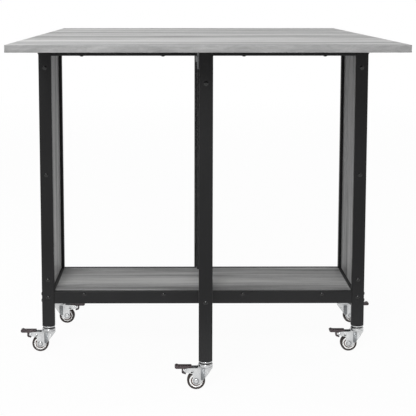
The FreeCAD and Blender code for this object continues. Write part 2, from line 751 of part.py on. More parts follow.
def pedal():
    """Brake pedal: toe pad with its hook and lug, and the two flat levers that run to the fork head."""
    pad_foot = PEDAL_PIN_HEIGHT + PEDAL_RISE
    near = PEDAL_PIN_REACH - PEDAL_OVERLAP
    hook_out = PEDAL_PIN_REACH + HOOK_SETOUT
    half = HOOK_WIDTH / 2
    pad = pad_outline(near, pad_foot, hook_out - HOOK_PLATE)
    toe = plate(pad, around(0, PEDAL_WIDTH))
    hook = plate(hook_outline(hook_out, pad_foot), (-half, half))
    lug = rod(LUG_RADIUS, Vec(PEDAL_PIN_REACH, -half, PEDAL_PIN_HEIGHT), BACK, HOOK_WIDTH)
    web_top = pad_foot + PEDAL_ROUND
    web = block(around(PEDAL_PIN_REACH, LUG_WEB), (-half, half), (PEDAL_PIN_HEIGHT, web_top))
    toe = toe.fuse([hook, lug, web])
    bore_start = Vec(PEDAL_PIN_REACH, -half, PEDAL_PIN_HEIGHT)
    toe = toe.cut(rod(PEDAL_PIN_RADIUS + RUNNING_CLEARANCE, bore_start, BACK, HOOK_WIDTH))
    lever_x = (CAP_RADIUS + LEVER_GAP, near)
    lever_z = (pad_foot + LEVER_RISE, pad_foot + LEVER_RISE + LEVER_HEIGHT)
    levers = [block(lever_x, around(y, LEVER_PLATE), lever_z) for y in evenly(2, LEVER_SPREAD)]
    return [toe.removeSplitter()] + levers


def castor(name, foot, trail):
    """Fork, wheel, tyre and pedal nodes under one leg; trail is 1 along +X and -1 along -X."""
    hub, tyre = wheel()
    pieces = {"fork": fork(), "hub": [hub], "tyre": [tyre], "pedal": pedal()}
    for piece, solids in pieces.items():
        placed = []
        for solid in solids:
            moved = solid.copy()
            if trail < 0:
                moved.rotate(FLOOR_CENTRE, UP, 180)
            moved.translate(Vec(foot.x, foot.y, 0))
            placed.append(moved)
        nodes[f"castor_{name}_{piece}"] = placed


def build_frame():
    """Trolley legs, rails, boards, brackets and all fasteners that stay with them."""
    frame_bolts = both_ends(frame_bolt_row() + bracket_bolt_row())
    board_screws = both_ends(board_screw_row())
    hinge_screws = both_ends(hinge_screw_row(1))
    through_steel = frame_bolts + board_screws

    leg = tube(
        around(-leg_x, TUBE_WIDE),
        around(-leg_y, TUBE_THIN),
        (CASTOR_HEIGHT, underside),
        "Z",
        (LEG_FOOT_PLATE, LEG_CAP_PLATE),
    )
    leg = drilled(leg, through_steel).cut(stem_hole(Vec(-leg_x, -leg_y, CASTOR_HEIGHT)))
    mirrored = leg.mirror(FLOOR_CENTRE, RIGHT)
    nodes["leg_front_left"] = [leg]
    nodes["leg_front_right"] = [mirrored]
    nodes["leg_back_right"] = [half_turn(leg)]
    nodes["leg_back_left"] = [half_turn(mirrored)]

    rail_ends = (RAIL_END_PLATE, RAIL_END_PLATE)
    rail_x = (-rail_half, rail_half)
    for name, foot in (("top", top_rail_foot), ("shelf", shelf_rail_foot)):
        level = (foot, foot + TUBE_WIDE)
        rail = tube(rail_x, around(-leg_y, TUBE_THIN), level, "X", rail_ends)
        rail = drilled(rail, through_steel)
        nodes[f"{name}_rail_front"] = [rail]
        nodes[f"{name}_rail_back"] = [half_turn(rail)]
        side_rail = tube(around(-leg_x, TUBE_WIDE), (-rail_inner, rail_inner), level, "Y", rail_ends)
        side_rail = drilled(side_rail, through_steel)
        nodes.setdefault("side_rails", []).extend([side_rail, half_turn(side_rail)])

    panel = block(
        around(-leg_x, PANEL_BOARD),
        (-rail_inner + BOARD_GAP, rail_inner - BOARD_GAP),
        (SHELF_HEIGHT + BOARD_GAP, top_rail_foot - BOARD_GAP),
    )
    panel = drilled(panel, board_screws)
    nodes["side_panel_left"] = [panel]
    nodes["side_panel_right"] = [half_turn(panel)]

    shelf = block(
        (-rail_half + BOARD_GAP, rail_half - BOARD_GAP),
        (-rail_inner + BOARD_GAP, rail_inner - BOARD_GAP),
        (SHELF_HEIGHT - SHELF_BOARD, SHELF_HEIGHT),
    )
    nodes["shelf_board"] = [drilled(shelf, board_screws)]

    centre = block(around(0, TOP_WIDTH), around(0, CENTRE_DEPTH), (underside, TOP_HEIGHT))
    nodes["centre_board"] = [drilled(centre, board_screws + hinge_screws)]

    nodes["frame_bolts"] = [fastener.solid() for fastener in frame_bolts]
    nodes["board_screws"] = [fastener.solid() for fastener in board_screws + hinge_screws]


def build_leaves_and_gates():
    """Each leaf with its hinges, each gate with its pivots; the back ones are turned from the front."""
    leaf_screws = hinge_screw_row(-1)
    leaf_y = (-TOP_DEPTH / 2, -CENTRE_DEPTH / 2 - LEAF_GAP)
    leaf = block(around(0, TOP_WIDTH), leaf_y, (underside, TOP_HEIGHT))
    leaf = drilled(leaf, leaf_screws)
    fixed, moving, hinge_pins = hinge_rows()
    brackets, pivot_pins = pivot_pair()
    gate_leg, gate_post, gate_rails = gate()
    stem = castor_stem(Vec(0, -gate_y, CASTOR_HEIGHT))
    front = {
        "leaf_{}_board": [leaf],
        "leaf_{}_hinge_wings": moving,
        "leaf_{}_hinge_screws": [fastener.solid() for fastener in leaf_screws],
        "gate_{}_leg": [gate_leg],
        "gate_{}_post": [gate_post],
        "gate_{}_rails": gate_rails,
        "gate_{}_bolts": [fastener.solid() for fastener in gate_bolt_row()],
        "gate_{}_castor_stem": [stem],
    }
    for name, solids in front.items():
        nodes[name.format("front")] = solids
        nodes[name.format("back")] = [half_turn(solid) for solid in solids]
    shared = {"hinge_fixed_wings": fixed, "hinge_pins": hinge_pins + pivot_pins, "pivot_brackets": brackets}
    for name, solids in shared.items():
        nodes[name] = solids + [half_turn(solid) for solid in solids]


def build_castors():
    corners = {
        "front_left": (Vec(-leg_x, -leg_y, CASTOR_HEIGHT), -1),
        "front_right": (Vec(leg_x, -leg_y, CASTOR_HEIGHT), -1),
        "back_left": (Vec(-leg_x, leg_y, CASTOR_HEIGHT), 1),
        "back_right": (Vec(leg_x, leg_y, CASTOR_HEIGHT), 1),
    }
    nodes["castor_stems"] = [castor_stem(foot) for foot, trail in corners.values()]
    corners["gate_front"] = (Vec(0, -gate_y, CASTOR_HEIGHT), -1)
    corners["gate_back"] = (Vec(0, gate_y, CASTOR_HEIGHT), 1)
    for name, (foot, trail) in corners.items():
        castor(name, foot, trail)


build_frame()
build_leaves_and_gates()
build_castors()

os.makedirs("parts", exist_ok=True)
for name, solids in nodes.items():
    shape = solids[0] if len(solids) == 1 else Part.makeCompound(solids)
    shape.exportStep(f"parts/{name}.step")
    valid = all(solid.isValid() and len(solid.Solids) == 1 for solid in solids)
    print(f"{name}: {len(solids)} solid(s), {shape.Volume / 1000:.1f} cm3, valid {valid}")
print(f"{len(nodes)} nodes")
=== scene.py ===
# %% [markdown]
# A trolley dining table with drop leaves
#
# This lesson dresses a finished construction model. The pieces, joints and sizes come from the packed
# frame, in metres, so a new piece is made where the frame already holds its plain twin.

# %% Load the frame
import json
import math

import bmesh
import bpy
from mathutils import Matrix, Vector


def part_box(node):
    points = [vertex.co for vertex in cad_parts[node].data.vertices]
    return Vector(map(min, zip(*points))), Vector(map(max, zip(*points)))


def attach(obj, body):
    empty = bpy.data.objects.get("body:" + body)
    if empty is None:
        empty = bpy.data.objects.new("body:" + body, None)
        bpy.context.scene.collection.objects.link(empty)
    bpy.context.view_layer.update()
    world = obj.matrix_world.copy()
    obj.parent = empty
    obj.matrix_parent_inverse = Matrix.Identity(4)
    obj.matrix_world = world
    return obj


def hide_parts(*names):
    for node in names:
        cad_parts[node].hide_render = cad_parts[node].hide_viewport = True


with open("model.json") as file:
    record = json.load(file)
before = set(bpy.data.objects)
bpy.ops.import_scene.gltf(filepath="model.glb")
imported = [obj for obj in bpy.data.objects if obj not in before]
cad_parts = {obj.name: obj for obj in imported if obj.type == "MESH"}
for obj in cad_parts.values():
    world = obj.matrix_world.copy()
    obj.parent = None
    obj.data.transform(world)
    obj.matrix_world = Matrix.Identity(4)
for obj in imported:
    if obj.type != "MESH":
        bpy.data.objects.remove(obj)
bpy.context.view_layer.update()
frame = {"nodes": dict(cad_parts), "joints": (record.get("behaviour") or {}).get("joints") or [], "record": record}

MM = 0.001

# %% [markdown]
# Colours are written as the sRGB hex values that a painter would pick. Shaders want linear light, so one
# function turns the first into the second. Nodes could be placed by hand in the shader editor. A small
# function that adds one, with its settings, links and colour stops, lets a finish read as a recipe.

# %% Colours and nodes
def linear(hex_colour):
    """Linear light from an sRGB hex colour."""
    channels = []
    for start in (1, 3, 5):
        value = int(hex_colour[start:start + 2], 16) / 255
        channels.append(value / 12.92 if value <= 0.04045 else ((value + 0.055) / 1.055) ** 2.4)
    return (*channels, 1.0)


def feed(tree, node, links):
    """Link each source to the socket that it is listed under."""
    for name, source in links.items():
        tree.links.new(source, node.inputs[name])


def add(tree, kind, settings=None, links=None, stops=()):
    """Add a node. Settings name its properties or sockets, and stops are those of a colour ramp."""
    made = tree.nodes.new("ShaderNode" + kind)
    for name, value in (settings or {}).items():
        if isinstance(name, str) and hasattr(made, name):
            setattr(made, name, value)
        else:
            made.inputs[name].default_value = value
    feed(tree, made, links or {})
    if stops:
        elements = made.color_ramp.elements
        elements.remove(elements[1])
        elements[0].position = stops[0][0]
        for stop in stops[1:]:
            elements.new(stop[0])
        for element, stop in zip(elements, stops):
            element.color = stop[1]
    return made


def start_finish(name, colour, roughness, metallic=0.0, ior=None, mirror=None):
    """A material with one Principled shader, its constants set on the shader itself."""
    material = bpy.data.materials.new(name)
    material.use_nodes = True
    tree = material.node_tree
    shader = tree.nodes["Principled BSDF"]
    constants = {
        "Base Color": linear(colour),
        "Roughness": roughness,
        "Metallic": metallic,
        "IOR": ior,
        "Specular IOR Level": mirror,
    }
    for socket, value in constants.items():
        if value is not None:
            shader.inputs[socket].default_value = value
    return material, tree, shader


print("mid grey is", round(linear("#808080")[0], 3), "in linear light")

# %% [markdown]
# Melamine-faced chipboard in a grey oak print covers every board. The print is rolled on, so its grain
# runs along the board and along each edge band, whatever way that band turns the corner. Plain object
# coordinates would run every grain the same way, so each mesh stores a grain vector at its corners, in
# metres: x along the fibres, y across them, z through the board. Broad belts of tone, flames of growth
# rings, streaks, fibres and short dark pores are stacked in it, as they are on sawn oak. The face is
# embossed and keeps little mirror. The edge band has the same print, but calmer and a little darker.

# %% Finish: melamine oak print
# Each layer has its length along the grain, its width across it and the settings of its noise.
OAK_LAYERS = {
    "belt": (1000 * MM, 60 * MM, {"Detail": 2.5, "Roughness": 0.55, "Distortion": 0.3}),
    "flame": (900 * MM, 62 * MM, {"Detail": 2.5, "Roughness": 0.5, "Distortion": 0.35}),
    "streak": (520 * MM, 13 * MM, {"Detail": 4.0, "Roughness": 0.6, "Distortion": 0.2}),
    "fibre": (130 * MM, 2.4 * MM, {"Detail": 3.0, "Roughness": 0.65}),
    "pore": (17 * MM, 1.1 * MM, {"Detail": 1.0}),
}
LAYER_SHARES = {"belt": 2.5, "flame": 0.4, "streak": 1.4, "fibre": 1.0}
RINGS_PER_FLAME = 7.0
RING_SHARE = 0.11
PORE_PEAKS = {"From Min": 0.60, "From Max": 0.74}
PORE_SHARE = 0.3
PORE_DEPTH = 1.4
PRINT_TONES = ((0.0, linear("#7C7C7C")), (0.5, linear("#BDBDBD")), (1.0, linear("#E2E2E1")))
PRINT_SHEEN = {"From Min": 0.3, "From Max": 0.7, "To Min": 0.44, "To Max": 0.56}
EMBOSSING = {"Strength": 0.35, "Distance": 0.06 * MM}
EMBOSSED_MIRROR = 0.12


def melamine_oak(name, contrast, mean_tone):
    """An oak print: how strongly its layers show, and how pale it is on the whole."""
    material, tree, shader = start_finish(name, "#BDBDBD", 0.5, ior=1.5, mirror=EMBOSSED_MIRROR)
    grain = add(tree, "Attribute", {"attribute_name": "grain"}).outputs["Vector"]
    layers = {}
    for layer, (length, width, noise) in OAK_LAYERS.items():
        sizes = (1 / length, 1 / width, 1 / width)
        place = add(tree, "VectorMath", {"operation": "MULTIPLY", 1: sizes}, {0: grain}).outputs[0]
        layers[layer] = add(tree, "TexNoise", {"Scale": 1.0, **noise}, {"Vector": place}).outputs["Fac"]
    pore = add(tree, "MapRange", PORE_PEAKS, {"Value": layers["pore"]}).outputs[0]
    turns = {"operation": "MULTIPLY", 1: 2 * math.pi * RINGS_PER_FLAME}
    rings = add(tree, "Math", turns, {0: layers["flame"]}).outputs[0]
    rings = add(tree, "Math", {"operation": "SINE"}, {0: rings}).outputs[0]

    first_tone = mean_tone - contrast * sum(LAYER_SHARES.values()) / 2
    ring_tone = {"operation": "MULTIPLY_ADD", 1: contrast * RING_SHARE, 2: first_tone}
    tone = add(tree, "Math", ring_tone, {0: rings}).outputs[0]
    for layer, share in LAYER_SHARES.items():
        layer_tone = {"operation": "MULTIPLY_ADD", 1: contrast * share}
        tone = add(tree, "Math", layer_tone, {0: layers[layer], 2: tone}).outputs[0]
    tone = add(tree, "Math", {"operation": "MULTIPLY_ADD", 1: -PORE_SHARE}, {0: pore, 2: tone}).outputs[0]
    colour = add(tree, "ValToRGB", None, {"Fac": tone}, PRINT_TONES).outputs["Color"]
    sheen = add(tree, "MapRange", PRINT_SHEEN, {"Value": layers["fibre"]}).outputs[0]
    relief = {"operation": "MULTIPLY_ADD", 1: -PORE_DEPTH}
    height = add(tree, "Math", relief, {0: pore, 2: layers["fibre"]}).outputs[0]
    bump = add(tree, "Bump", EMBOSSING, {"Height": height}).outputs["Normal"]
    feed(tree, shader, {"Base Color": colour, "Roughness": sheen, "Normal": bump})
    return material


OAK = melamine_oak("melamine oak print", 0.8, 0.5)
OAK_BAND = melamine_oak("melamine oak edge band", 0.22, 0.37)
print("made", OAK.name, "and", OAK_BAND.name, "from", len(OAK_LAYERS), "layers of noise")

# %% [markdown]
# The steel tubes wear a black polyester powder coat. The powder melts and flows in an oven, which leaves
# a soft sheen and a fine orange peel. A matting agent takes away part of the mirror, so the specular level
# is about half of a clear lacquer's. One flat black would look lifeless, so its tone drifts a little.

# %% Finish: black powder coat
PEEL_SIZE = 2.2 * MM
PEEL = {"Strength": 0.25, "Distance": 0.05 * MM}
CLOUD_SIZE = 140 * MM
COAT_TONES = ((0.35, linear("#131314")), (0.65, linear("#1A1A1B")))
COAT_SHEEN = {"From Min": 0.3, "From Max": 0.7, "To Min": 0.42, "To Max": 0.52}
MATTED_MIRROR = 0.25


def powder_coat():
    material, tree, shader = start_finish("black powder coat", "#161617", 0.46, ior=1.5, mirror=MATTED_MIRROR)
    place = add(tree, "TexCoord").outputs["Object"]
    peel = add(tree, "TexNoise", {"Scale": 1 / PEEL_SIZE, "Detail": 2.0}, {"Vector": place}).outputs["Fac"]
    cloud = add(tree, "TexNoise", {"Scale": 1 / CLOUD_SIZE, "Detail": 3.0}, {"Vector": place}).outputs["Fac"]
    colour = add(tree, "ValToRGB", None, {"Fac": cloud}, COAT_TONES).outputs["Color"]
    sheen = add(tree, "MapRange", COAT_SHEEN, {"Value": peel}).outputs[0]
    bump = add(tree, "Bump", PEEL, {"Height": peel}).outputs["Normal"]
    feed(tree, shader, {"Base Color": colour, "Roughness": sheen, "Normal": bump})
    return material


POWDER_COAT = powder_coat()
print("made", POWDER_COAT.name, "with a peel of", round(PEEL_SIZE / MM, 1), "mm")

# %% [markdown]
# The dome-head bolts are blackened steel: a thin oxide, wiped with oil, over the bare metal. It is darker
# and smoother than the paint, so a small highlight sits on every dome. A metal shader would mirror the
# white room and turn grey, so this is a dark dielectric with a low mirror.

# %% Finish: black oxide steel
OXIDE_SPECK = 3 * MM
OXIDE_TONES = ((0.4, linear("#040405")), (0.7, linear("#0B0B0C")))
OXIDE_SHEEN = {"To Min": 0.07, "To Max": 0.14}
OILED_MIRROR = 0.38


def black_oxide():
    material, tree, shader = start_finish("black oxide steel", "#060607", 0.1, ior=1.6, mirror=OILED_MIRROR)
    place = add(tree, "TexCoord").outputs["Object"]
    speck = add(tree, "TexNoise", {"Scale": 1 / OXIDE_SPECK, "Detail": 3.0}, {"Vector": place}).outputs["Fac"]
    colour = add(tree, "ValToRGB", None, {"Fac": speck}, OXIDE_TONES).outputs["Color"]
    sheen = add(tree, "MapRange", OXIDE_SHEEN, {"Value": speck}).outputs[0]
    feed(tree, shader, {"Base Color": colour, "Roughness": sheen})
    return material


BLACK_OXIDE = black_oxide()
print("made", BLACK_OXIDE.name)

# %% [markdown]
# The castor forks are pressed steel with a bright zinc plate, which keeps a slightly cloudy white mirror
# and shows the faint ripple of the pressing. Hinges, brackets, levers, collars and ribs wear a duller,
# darker plate; on the levers and pivot brackets that darker tone is painted shade, for the shadow they sit
# in. One function makes both, because only their tone and sheen differ.

# %% Finish: zinc plate
PLATE_CLOUD = 22 * MM
PRESS_RIPPLE = 7 * MM
RIPPLE = {"Strength": 0.2, "Distance": 0.1 * MM}


def zinc_plate(name, dark, pale, sheen_span):
    """Plated steel: a cloudy drift in tone and sheen over a faint ripple."""
    material, tree, shader = start_finish(name, pale, sheen_span[0], metallic=1.0)
    place = add(tree, "TexCoord").outputs["Object"]
    cloud = add(tree, "TexNoise", {"Scale": 1 / PLATE_CLOUD, "Detail": 3.0}, {"Vector": place}).outputs["Fac"]
    tones = ((0.3, linear(dark)), (0.7, linear(pale)))
    colour = add(tree, "ValToRGB", None, {"Fac": cloud}, tones).outputs["Color"]
    span = {"To Min": sheen_span[0], "To Max": sheen_span[1]}
    sheen = add(tree, "MapRange", span, {"Value": cloud}).outputs[0]
    waves = add(tree, "TexNoise", {"Scale": 1 / PRESS_RIPPLE, "Detail": 1.0}, {"Vector": place})
    bump = add(tree, "Bump", RIPPLE, {"Height": waves.outputs["Fac"]}).outputs["Normal"]
    feed(tree, shader, {"Base Color": colour, "Roughness": sheen, "Normal": bump})
    return material


ZINC = zinc_plate("bright zinc plate", "#BDBEBF", "#D2D3D3", (0.14, 0.30))
# The darker tone of this plate is painted shade on the levers and pivot brackets, which sit in shadow.
DULL_ZINC_AND_SHADE = zinc_plate("dull zinc plate and painted shade", "#727476", "#868889", (0.38, 0.52))
print("made", ZINC.name, "and", DULL_ZINC_AND_SHADE.name)

# %% [markdown]
# Each wheel has a white nylon hub, a dark brown rubber tyre and a brown ring set into the hub. The brake
# pedals are brown polypropylene. All are moulded, and a spark-eroded mould wall leaves a fine grain. One
# function makes them all, from the colours, the sheen, the index and the depth of grain of each.

# %% Finish: hub, tyre and pedal mouldings
DRIFT_SIZE = 12 * MM
GRAIN_PITCH = 0.9 * MM


def moulding(name, dark, pale, roughness, ior, grain_depth):
    """A moulded finish: a little drift in colour and the fine grain of the mould wall."""
    material, tree, shader = start_finish(name, pale, roughness, ior=ior)
    place = add(tree, "TexCoord").outputs["Object"]
    drift = add(tree, "TexNoise", {"Scale": 1 / DRIFT_SIZE, "Detail": 3.0}, {"Vector": place}).outputs["Fac"]
    tones = ((0.35, linear(dark)), (0.65, linear(pale)))
    colour = add(tree, "ValToRGB", None, {"Fac": drift}, tones).outputs["Color"]
    pits = add(tree, "TexNoise", {"Scale": 1 / GRAIN_PITCH, "Detail": 2.0}, {"Vector": place}).outputs["Fac"]
    bump = add(tree, "Bump", {"Strength": 0.3, "Distance": grain_depth}, {"Height": pits}).outputs["Normal"]
    feed(tree, shader, {"Base Color": colour, "Normal": bump})
    return material


NYLON = moulding("white moulded nylon", "#F6F6F4", "#FDFDFC", 0.38, 1.53, 0.02 * MM)
RUBBER = moulding("brown tyre rubber", "#1A0F0A", "#241610", 0.62, 1.52, 0.06 * MM)
PEDAL_PLASTIC = moulding("brown moulded polypropylene", "#30242A", "#3D2F31", 0.45, 1.49, 0.05 * MM)
DUST_RING = moulding("brown moulded dust ring", "#4A2F26", "#5A4036", 0.5, 1.5, 0.02 * MM)
print("made", NYLON.name, RUBBER.name, PEDAL_PLASTIC.name, DUST_RING.name)

# %% [markdown]
# Pieces whose construction solids already have their true shape keep it, and only take a finish.
# The imported record says which material slot each node uses. Hinge wings and pivot brackets share the
# slot of the bright castors, but wear the duller, darker plate, so they are named here; on the brackets
# its darker tone is painted shade.

# %% Dress the nodes that stay
# On the pivot brackets the darker plate is painted shade.
DULL_AND_SHADE_NODES = ("hinge_fixed_wings", "leaf_front_hinge_wings", "leaf_back_hinge_wings", "pivot_brackets")
FINISHES = {
    "grey_oak_board": OAK,
    "black_frame": POWDER_COAT,
    "black_bolts": BLACK_OXIDE,
    "zinc_steel": ZINC,
    "white_hub": NYLON,
    "brown_rubber": RUBBER,
    "brown_plastic": PEDAL_PLASTIC,
}
slot_of = {part["node"]: part["material_slot"] for part in frame["record"]["subparts"]}
for name, solid in frame["nodes"].items():
    solid.data.materials.clear()
    solid.data.materials.append(DULL_ZINC_AND_SHADE if name in DULL_AND_SHADE_NODES else FINISHES[slot_of[name]])
print("dressed", len(slot_of), "nodes in", len(FINISHES), "finishes")

# %% [markdown]
# Every new piece ends the same way: its mesh takes a finish, shades smooth up to a crease, rides on a body
# of the frame and may take the place of a plain node. Boxes get eased edges, because nothing that is sawn
# or pressed has a perfectly sharp one, and only an eased edge catches the light.

# %% Piece tools
ARRIS_STEPS = 3
CREASE_ANGLE = 35


def eased_box(shape, low, high, arris):
    """Add a box with eased edges to a bmesh."""
    place = Matrix.Translation((low + high) / 2) @ Matrix.Diagonal((*(high - low), 1.0))
    corners = bmesh.ops.create_cube(shape, size=1.0, matrix=place)["verts"]
    edges = list({edge for corner in corners for edge in corner.link_edges})
    bmesh.ops.bevel(
        shape, geom=edges, offset=arris, offset_type="OFFSET", segments=ARRIS_STEPS, profile=0.5,
        affect="EDGES",
    )


def finish_piece(name, shape, finish, body, replaced=()):
    """Turn a bmesh into a piece that rides on a body and takes the place of plain nodes."""
    mesh = bpy.data.meshes.new(name)
    shape.to_mesh(mesh)
    shape.free()
    mesh.materials.append(finish)
    mesh.shade_smooth()
    mesh.set_sharp_from_angle(angle=math.radians(CREASE_ANGLE))
    piece = bpy.data.objects.new(name, mesh)
    bpy.context.scene.collection.objects.link(piece)
    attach(piece, body)
    if replaced:
        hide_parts(*replaced)
    return piece


print("pieces crease over", CREASE_ANGLE, "degrees")

# %% [markdown]
# A board is a décor panel with a thin band ironed on to each of its four edges. The band's outer arris
# is eased with a scraper, and a hairline shows where it meets the face. A panel made as one box would
# lose that line, so the panel and the four bands are separate closed shapes, each with its own grain.

# %% Piece: boards with edge bands
BAND = 1.0 * MM
BAND_ARRIS = 0.45 * BAND
HAIRLINE = 0.12 * MM
BAND_PRINT = (12.0, 2.5)
BAND_SHIFT = (3, 5, 7)


def store_grain(mesh, along, across, offset, print_scale=(1.0, 1.0)):
    """Write the grain vector: the fibre axis first, then the axis across it, then what is left."""
    through = ({0, 1, 2} - {along, across}).pop()
    grain = mesh.attributes.new("grain", "FLOAT_VECTOR", "CORNER")
    for corner in mesh.loops:
        point = mesh.vertices[corner.vertex_index].co
        grain.data[corner.index].vector = (
            point[along] * print_scale[0] + offset[0],
            point[across] * print_scale[1] + offset[1],
            point[through] + offset[2],
        )


def board(node, body, along, across, offset):
    """Panel and edge bands in the place of one plain board."""
    low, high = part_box(node)
    through = ({0, 1, 2} - {along, across}).pop()
    inset = Vector((0, 0, 0))
    inset[along] = BAND
    inset[across] = BAND
    shape = bmesh.new()
    eased_box(shape, low + inset, high - inset, HAIRLINE)
    panel = finish_piece(node + "_panel", shape, OAK, body, [node])
    store_grain(panel.data, along, across, offset)
    band_offset = [start + shift for start, shift in zip(offset, BAND_SHIFT)]
    for label, axis, other in (("long", along, across), ("end", across, along)):
        shape = bmesh.new()
        for near_side in (True, False):
            band_low, band_high = low.copy(), high.copy()
            if near_side:
                band_high[other] = low[other] + BAND
            else:
                band_low[other] = high[other] - BAND
            if label == "end":
                band_low[axis] += BAND
                band_high[axis] -= BAND
            eased_box(shape, band_low, band_high, BAND_ARRIS)
        bands = finish_piece(f"{node}_{label}_bands", shape, OAK_BAND, body)
        store_grain(bands.data, axis, through, band_offset, BAND_PRINT)


# Each board has its body, its axes along and across the grain, and the place where its print starts.
BOARDS = {
    "centre_board": ("trolley", 0, 1, (16.7, 3.41, 0.0)),
    "leaf_front_board": ("leaf_front", 0, 1, (43.6, 8.39, 0.0)),
    "leaf_back_board": ("leaf_back", 0, 1, (52.2, 10.15, 0.0)),
    "shelf_board": ("trolley", 0, 1, (56.6, 12.11, 0.0)),
    "side_panel_left": ("trolley", 2, 1, (44.8, 9.61, 0.0)),
    "side_panel_right": ("trolley", 2, 1, (64.5, 14.04, 0.0)),
}
for node, (body, along, across, offset) in BOARDS.items():
    board(node, body, along, across, offset)
print("made", len(BOARDS), "boards, each a panel and two pairs of bands")

# %% [markdown]
# The castors carry most of the small detail. Their places come from the frame's joints: the swivel gives
# the axis under the leg, the roll gives the wheel's centre and the brake gives the pedal's pin. Six castors
# could be drawn where they stand. It is simpler to draw one about its own swivel axis, trailing along +X,
# and to set a copy under each leg.

# %% Castor places
CASTORS = ("front_left", "front_right", "back_left", "back_right", "gate_front", "gate_back")
joint_place = {joint["name"]: Vector(joint["pos_m"]) for joint in frame["joints"]}
first_swivel = joint_place["swivel_front_left"]
first_roll = joint_place["roll_front_left"]
first_brake = joint_place["brake_front_left"]
TRAIL = abs(first_roll.x - first_swivel.x)
PIN_REACH = abs(first_brake.x - first_swivel.x)
AXLE_CENTRE = Vector((TRAIL, 0, first_roll.z))
PIN_CENTRE = Vector((PIN_REACH, 0, first_brake.z))
SWIVEL_FOOT = Vector((0, 0, 0))
tyre_low, tyre_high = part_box("castor_front_left_tyre")

# The castor's drawing is in millimetres from here on.
trail_mm, axle_mm = TRAIL / MM, first_roll.z / MM
pin_x, pin_z = PIN_REACH / MM, first_brake.z / MM
leg_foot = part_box("leg_front_left")[0].z / MM
wheel_mm = (tyre_high.z - tyre_low.z) / 2 / MM
wheel_half = (tyre_high.y - tyre_low.y) / 2 / MM


def castor_place(name):
    """Where one castor stands, turned so that +X is its trail."""
    swivel = joint_place["swivel_" + name]
    roll = joint_place["roll_" + name]
    turn = math.atan2(roll.y - swivel.y, roll.x - swivel.x)
    return Matrix.Translation((swivel.x, swivel.y, 0)) @ Matrix.Rotation(turn, 4, "Z")


print("castor trail", round(trail_mm, 1), "mm, wheel", round(2 * wheel_mm, 1), "mm across")

# %% [markdown]
# Two small tools draw the flat castor pieces: an outline whose corners are turned with arcs, and a plate
# cut from such an outline, with eased rims. Typed points along each curve would be hard to change.

# %% Outline and plate
ARC_STEPS = 6
RIM_STEPS = 2


def rounded(corners):
    """Points of a closed outline from corners of (x, z, radius), in millimetres, as metres."""
    points = []
    for index, (x, z, radius) in enumerate(corners):
        corner = Vector((x, z))
        if radius == 0:
            points.append(corner * MM)
            continue
        back_way = (Vector(corners[index - 1][:2]) - corner).normalized()
        on_way = (Vector(corners[(index + 1) % len(corners)][:2]) - corner).normalized()
        half_angle = back_way.angle(on_way) / 2
        centre = corner + (back_way + on_way).normalized() * (radius / math.sin(half_angle))
        start = corner + back_way * (radius / math.tan(half_angle)) - centre
        end = corner + on_way * (radius / math.tan(half_angle)) - centre
        sweep = math.pi - 2 * half_angle
        for step in range(ARC_STEPS + 1):
            share = step / ARC_STEPS
            spoke = start * math.sin((1 - share) * sweep) + end * math.sin(share * sweep)
            points.append((centre + spoke / math.sin(sweep)) * MM)
    return points


def plate(shape, corners, low, high, ease):
    """Add a plate of an XZ outline between two Y values, with eased rims, all in millimetres."""
    points = rounded(corners)
    rings = [[shape.verts.new((p.x, y * MM, p.y)) for p in points] for y in (low, high)]
    caps = [shape.faces.new(rings[0]), shape.faces.new(rings[1])]
    for index in range(len(points)):
        shape.faces.new((rings[0][index - 1], rings[0][index], rings[1][index], rings[1][index - 1]))
    rims = [edge for cap in caps for edge in cap.edges]
    if ease > 0:
        bmesh.ops.bevel(
            shape, geom=rims, offset=ease * MM, offset_type="OFFSET", segments=RIM_STEPS, profile=0.5,
            affect="EDGES", clamp_overlap=True,
        )


print("an arc has", ARC_STEPS, "steps, an eased rim", RIM_STEPS)

# %% [markdown]
# Covers, wheels, axles and rivets are turned. A screw modifier could do that too. Here the rings are
# written out, so that a point on the axis becomes one vertex and a section may be open or a closed loop.

# %% Lathe
LATHE_STEPS = 56
ON_AXIS = 1e-9


def lathe(shape, corners, place, along_y=False, closed=False, steps=LATHE_STEPS):
    """Add a shape turned from corners of (radius, height, rounding), in millimetres."""
    turned = []
    for radius, height in rounded(corners):
        ring = []
        for step in range(1 if radius < ON_AXIS else steps):
            angle = 2 * math.pi * step / steps
            across, deep = radius * math.cos(angle), radius * math.sin(angle)
            spot = Vector((across, height, deep)) if along_y else Vector((across, deep, height))
            ring.append(shape.verts.new(place + spot))
        turned.append(ring)
    pairs = list(zip(turned, turned[1:]))
    if closed:
        pairs.append((turned[-1], turned[0]))
    for ring, other in pairs:
        for step in range(steps):
            after = (step + 1) % steps
            if len(ring) == 1:
                shape.faces.new((ring[0], other[step], other[after]))
            elif len(other) == 1:
                shape.faces.new((ring[step], ring[after], other[0]))
            else:
                shape.faces.new((ring[step], ring[after], other[after], other[step]))


print("a full turn has", LATHE_STEPS, "steps")

# %% [markdown]
# Under each leg sits the fixed half of the swivel: a bright flange that meets the tube, a neck, and a
# polished race cover. A black, glossy ring round the neck paints the shade in the recess under the
# flange. A stack of cylinders would leave sharp steps, so each piece is turned from one section with
# round edges.

# %% Piece: swivel race covers
COVER_RADIUS = 15.8
COVER_HEIGHT = 7.0
COVER_SHOULDER = 1.0
FLANGE_RADIUS = 15.0
FLANGE_HEIGHT = 2.4
NECK_RADIUS = 12.0
NECK_HEIGHT = 3.0
SHADE_RING_RADIUS = 14.4
SHADE_RING_ROUND = 0.8
SLIP = 0.05
RIM_EASE = 0.4
cover_foot = leg_foot - COVER_HEIGHT
neck_top = leg_foot - FLANGE_HEIGHT
neck_foot = neck_top - NECK_HEIGHT


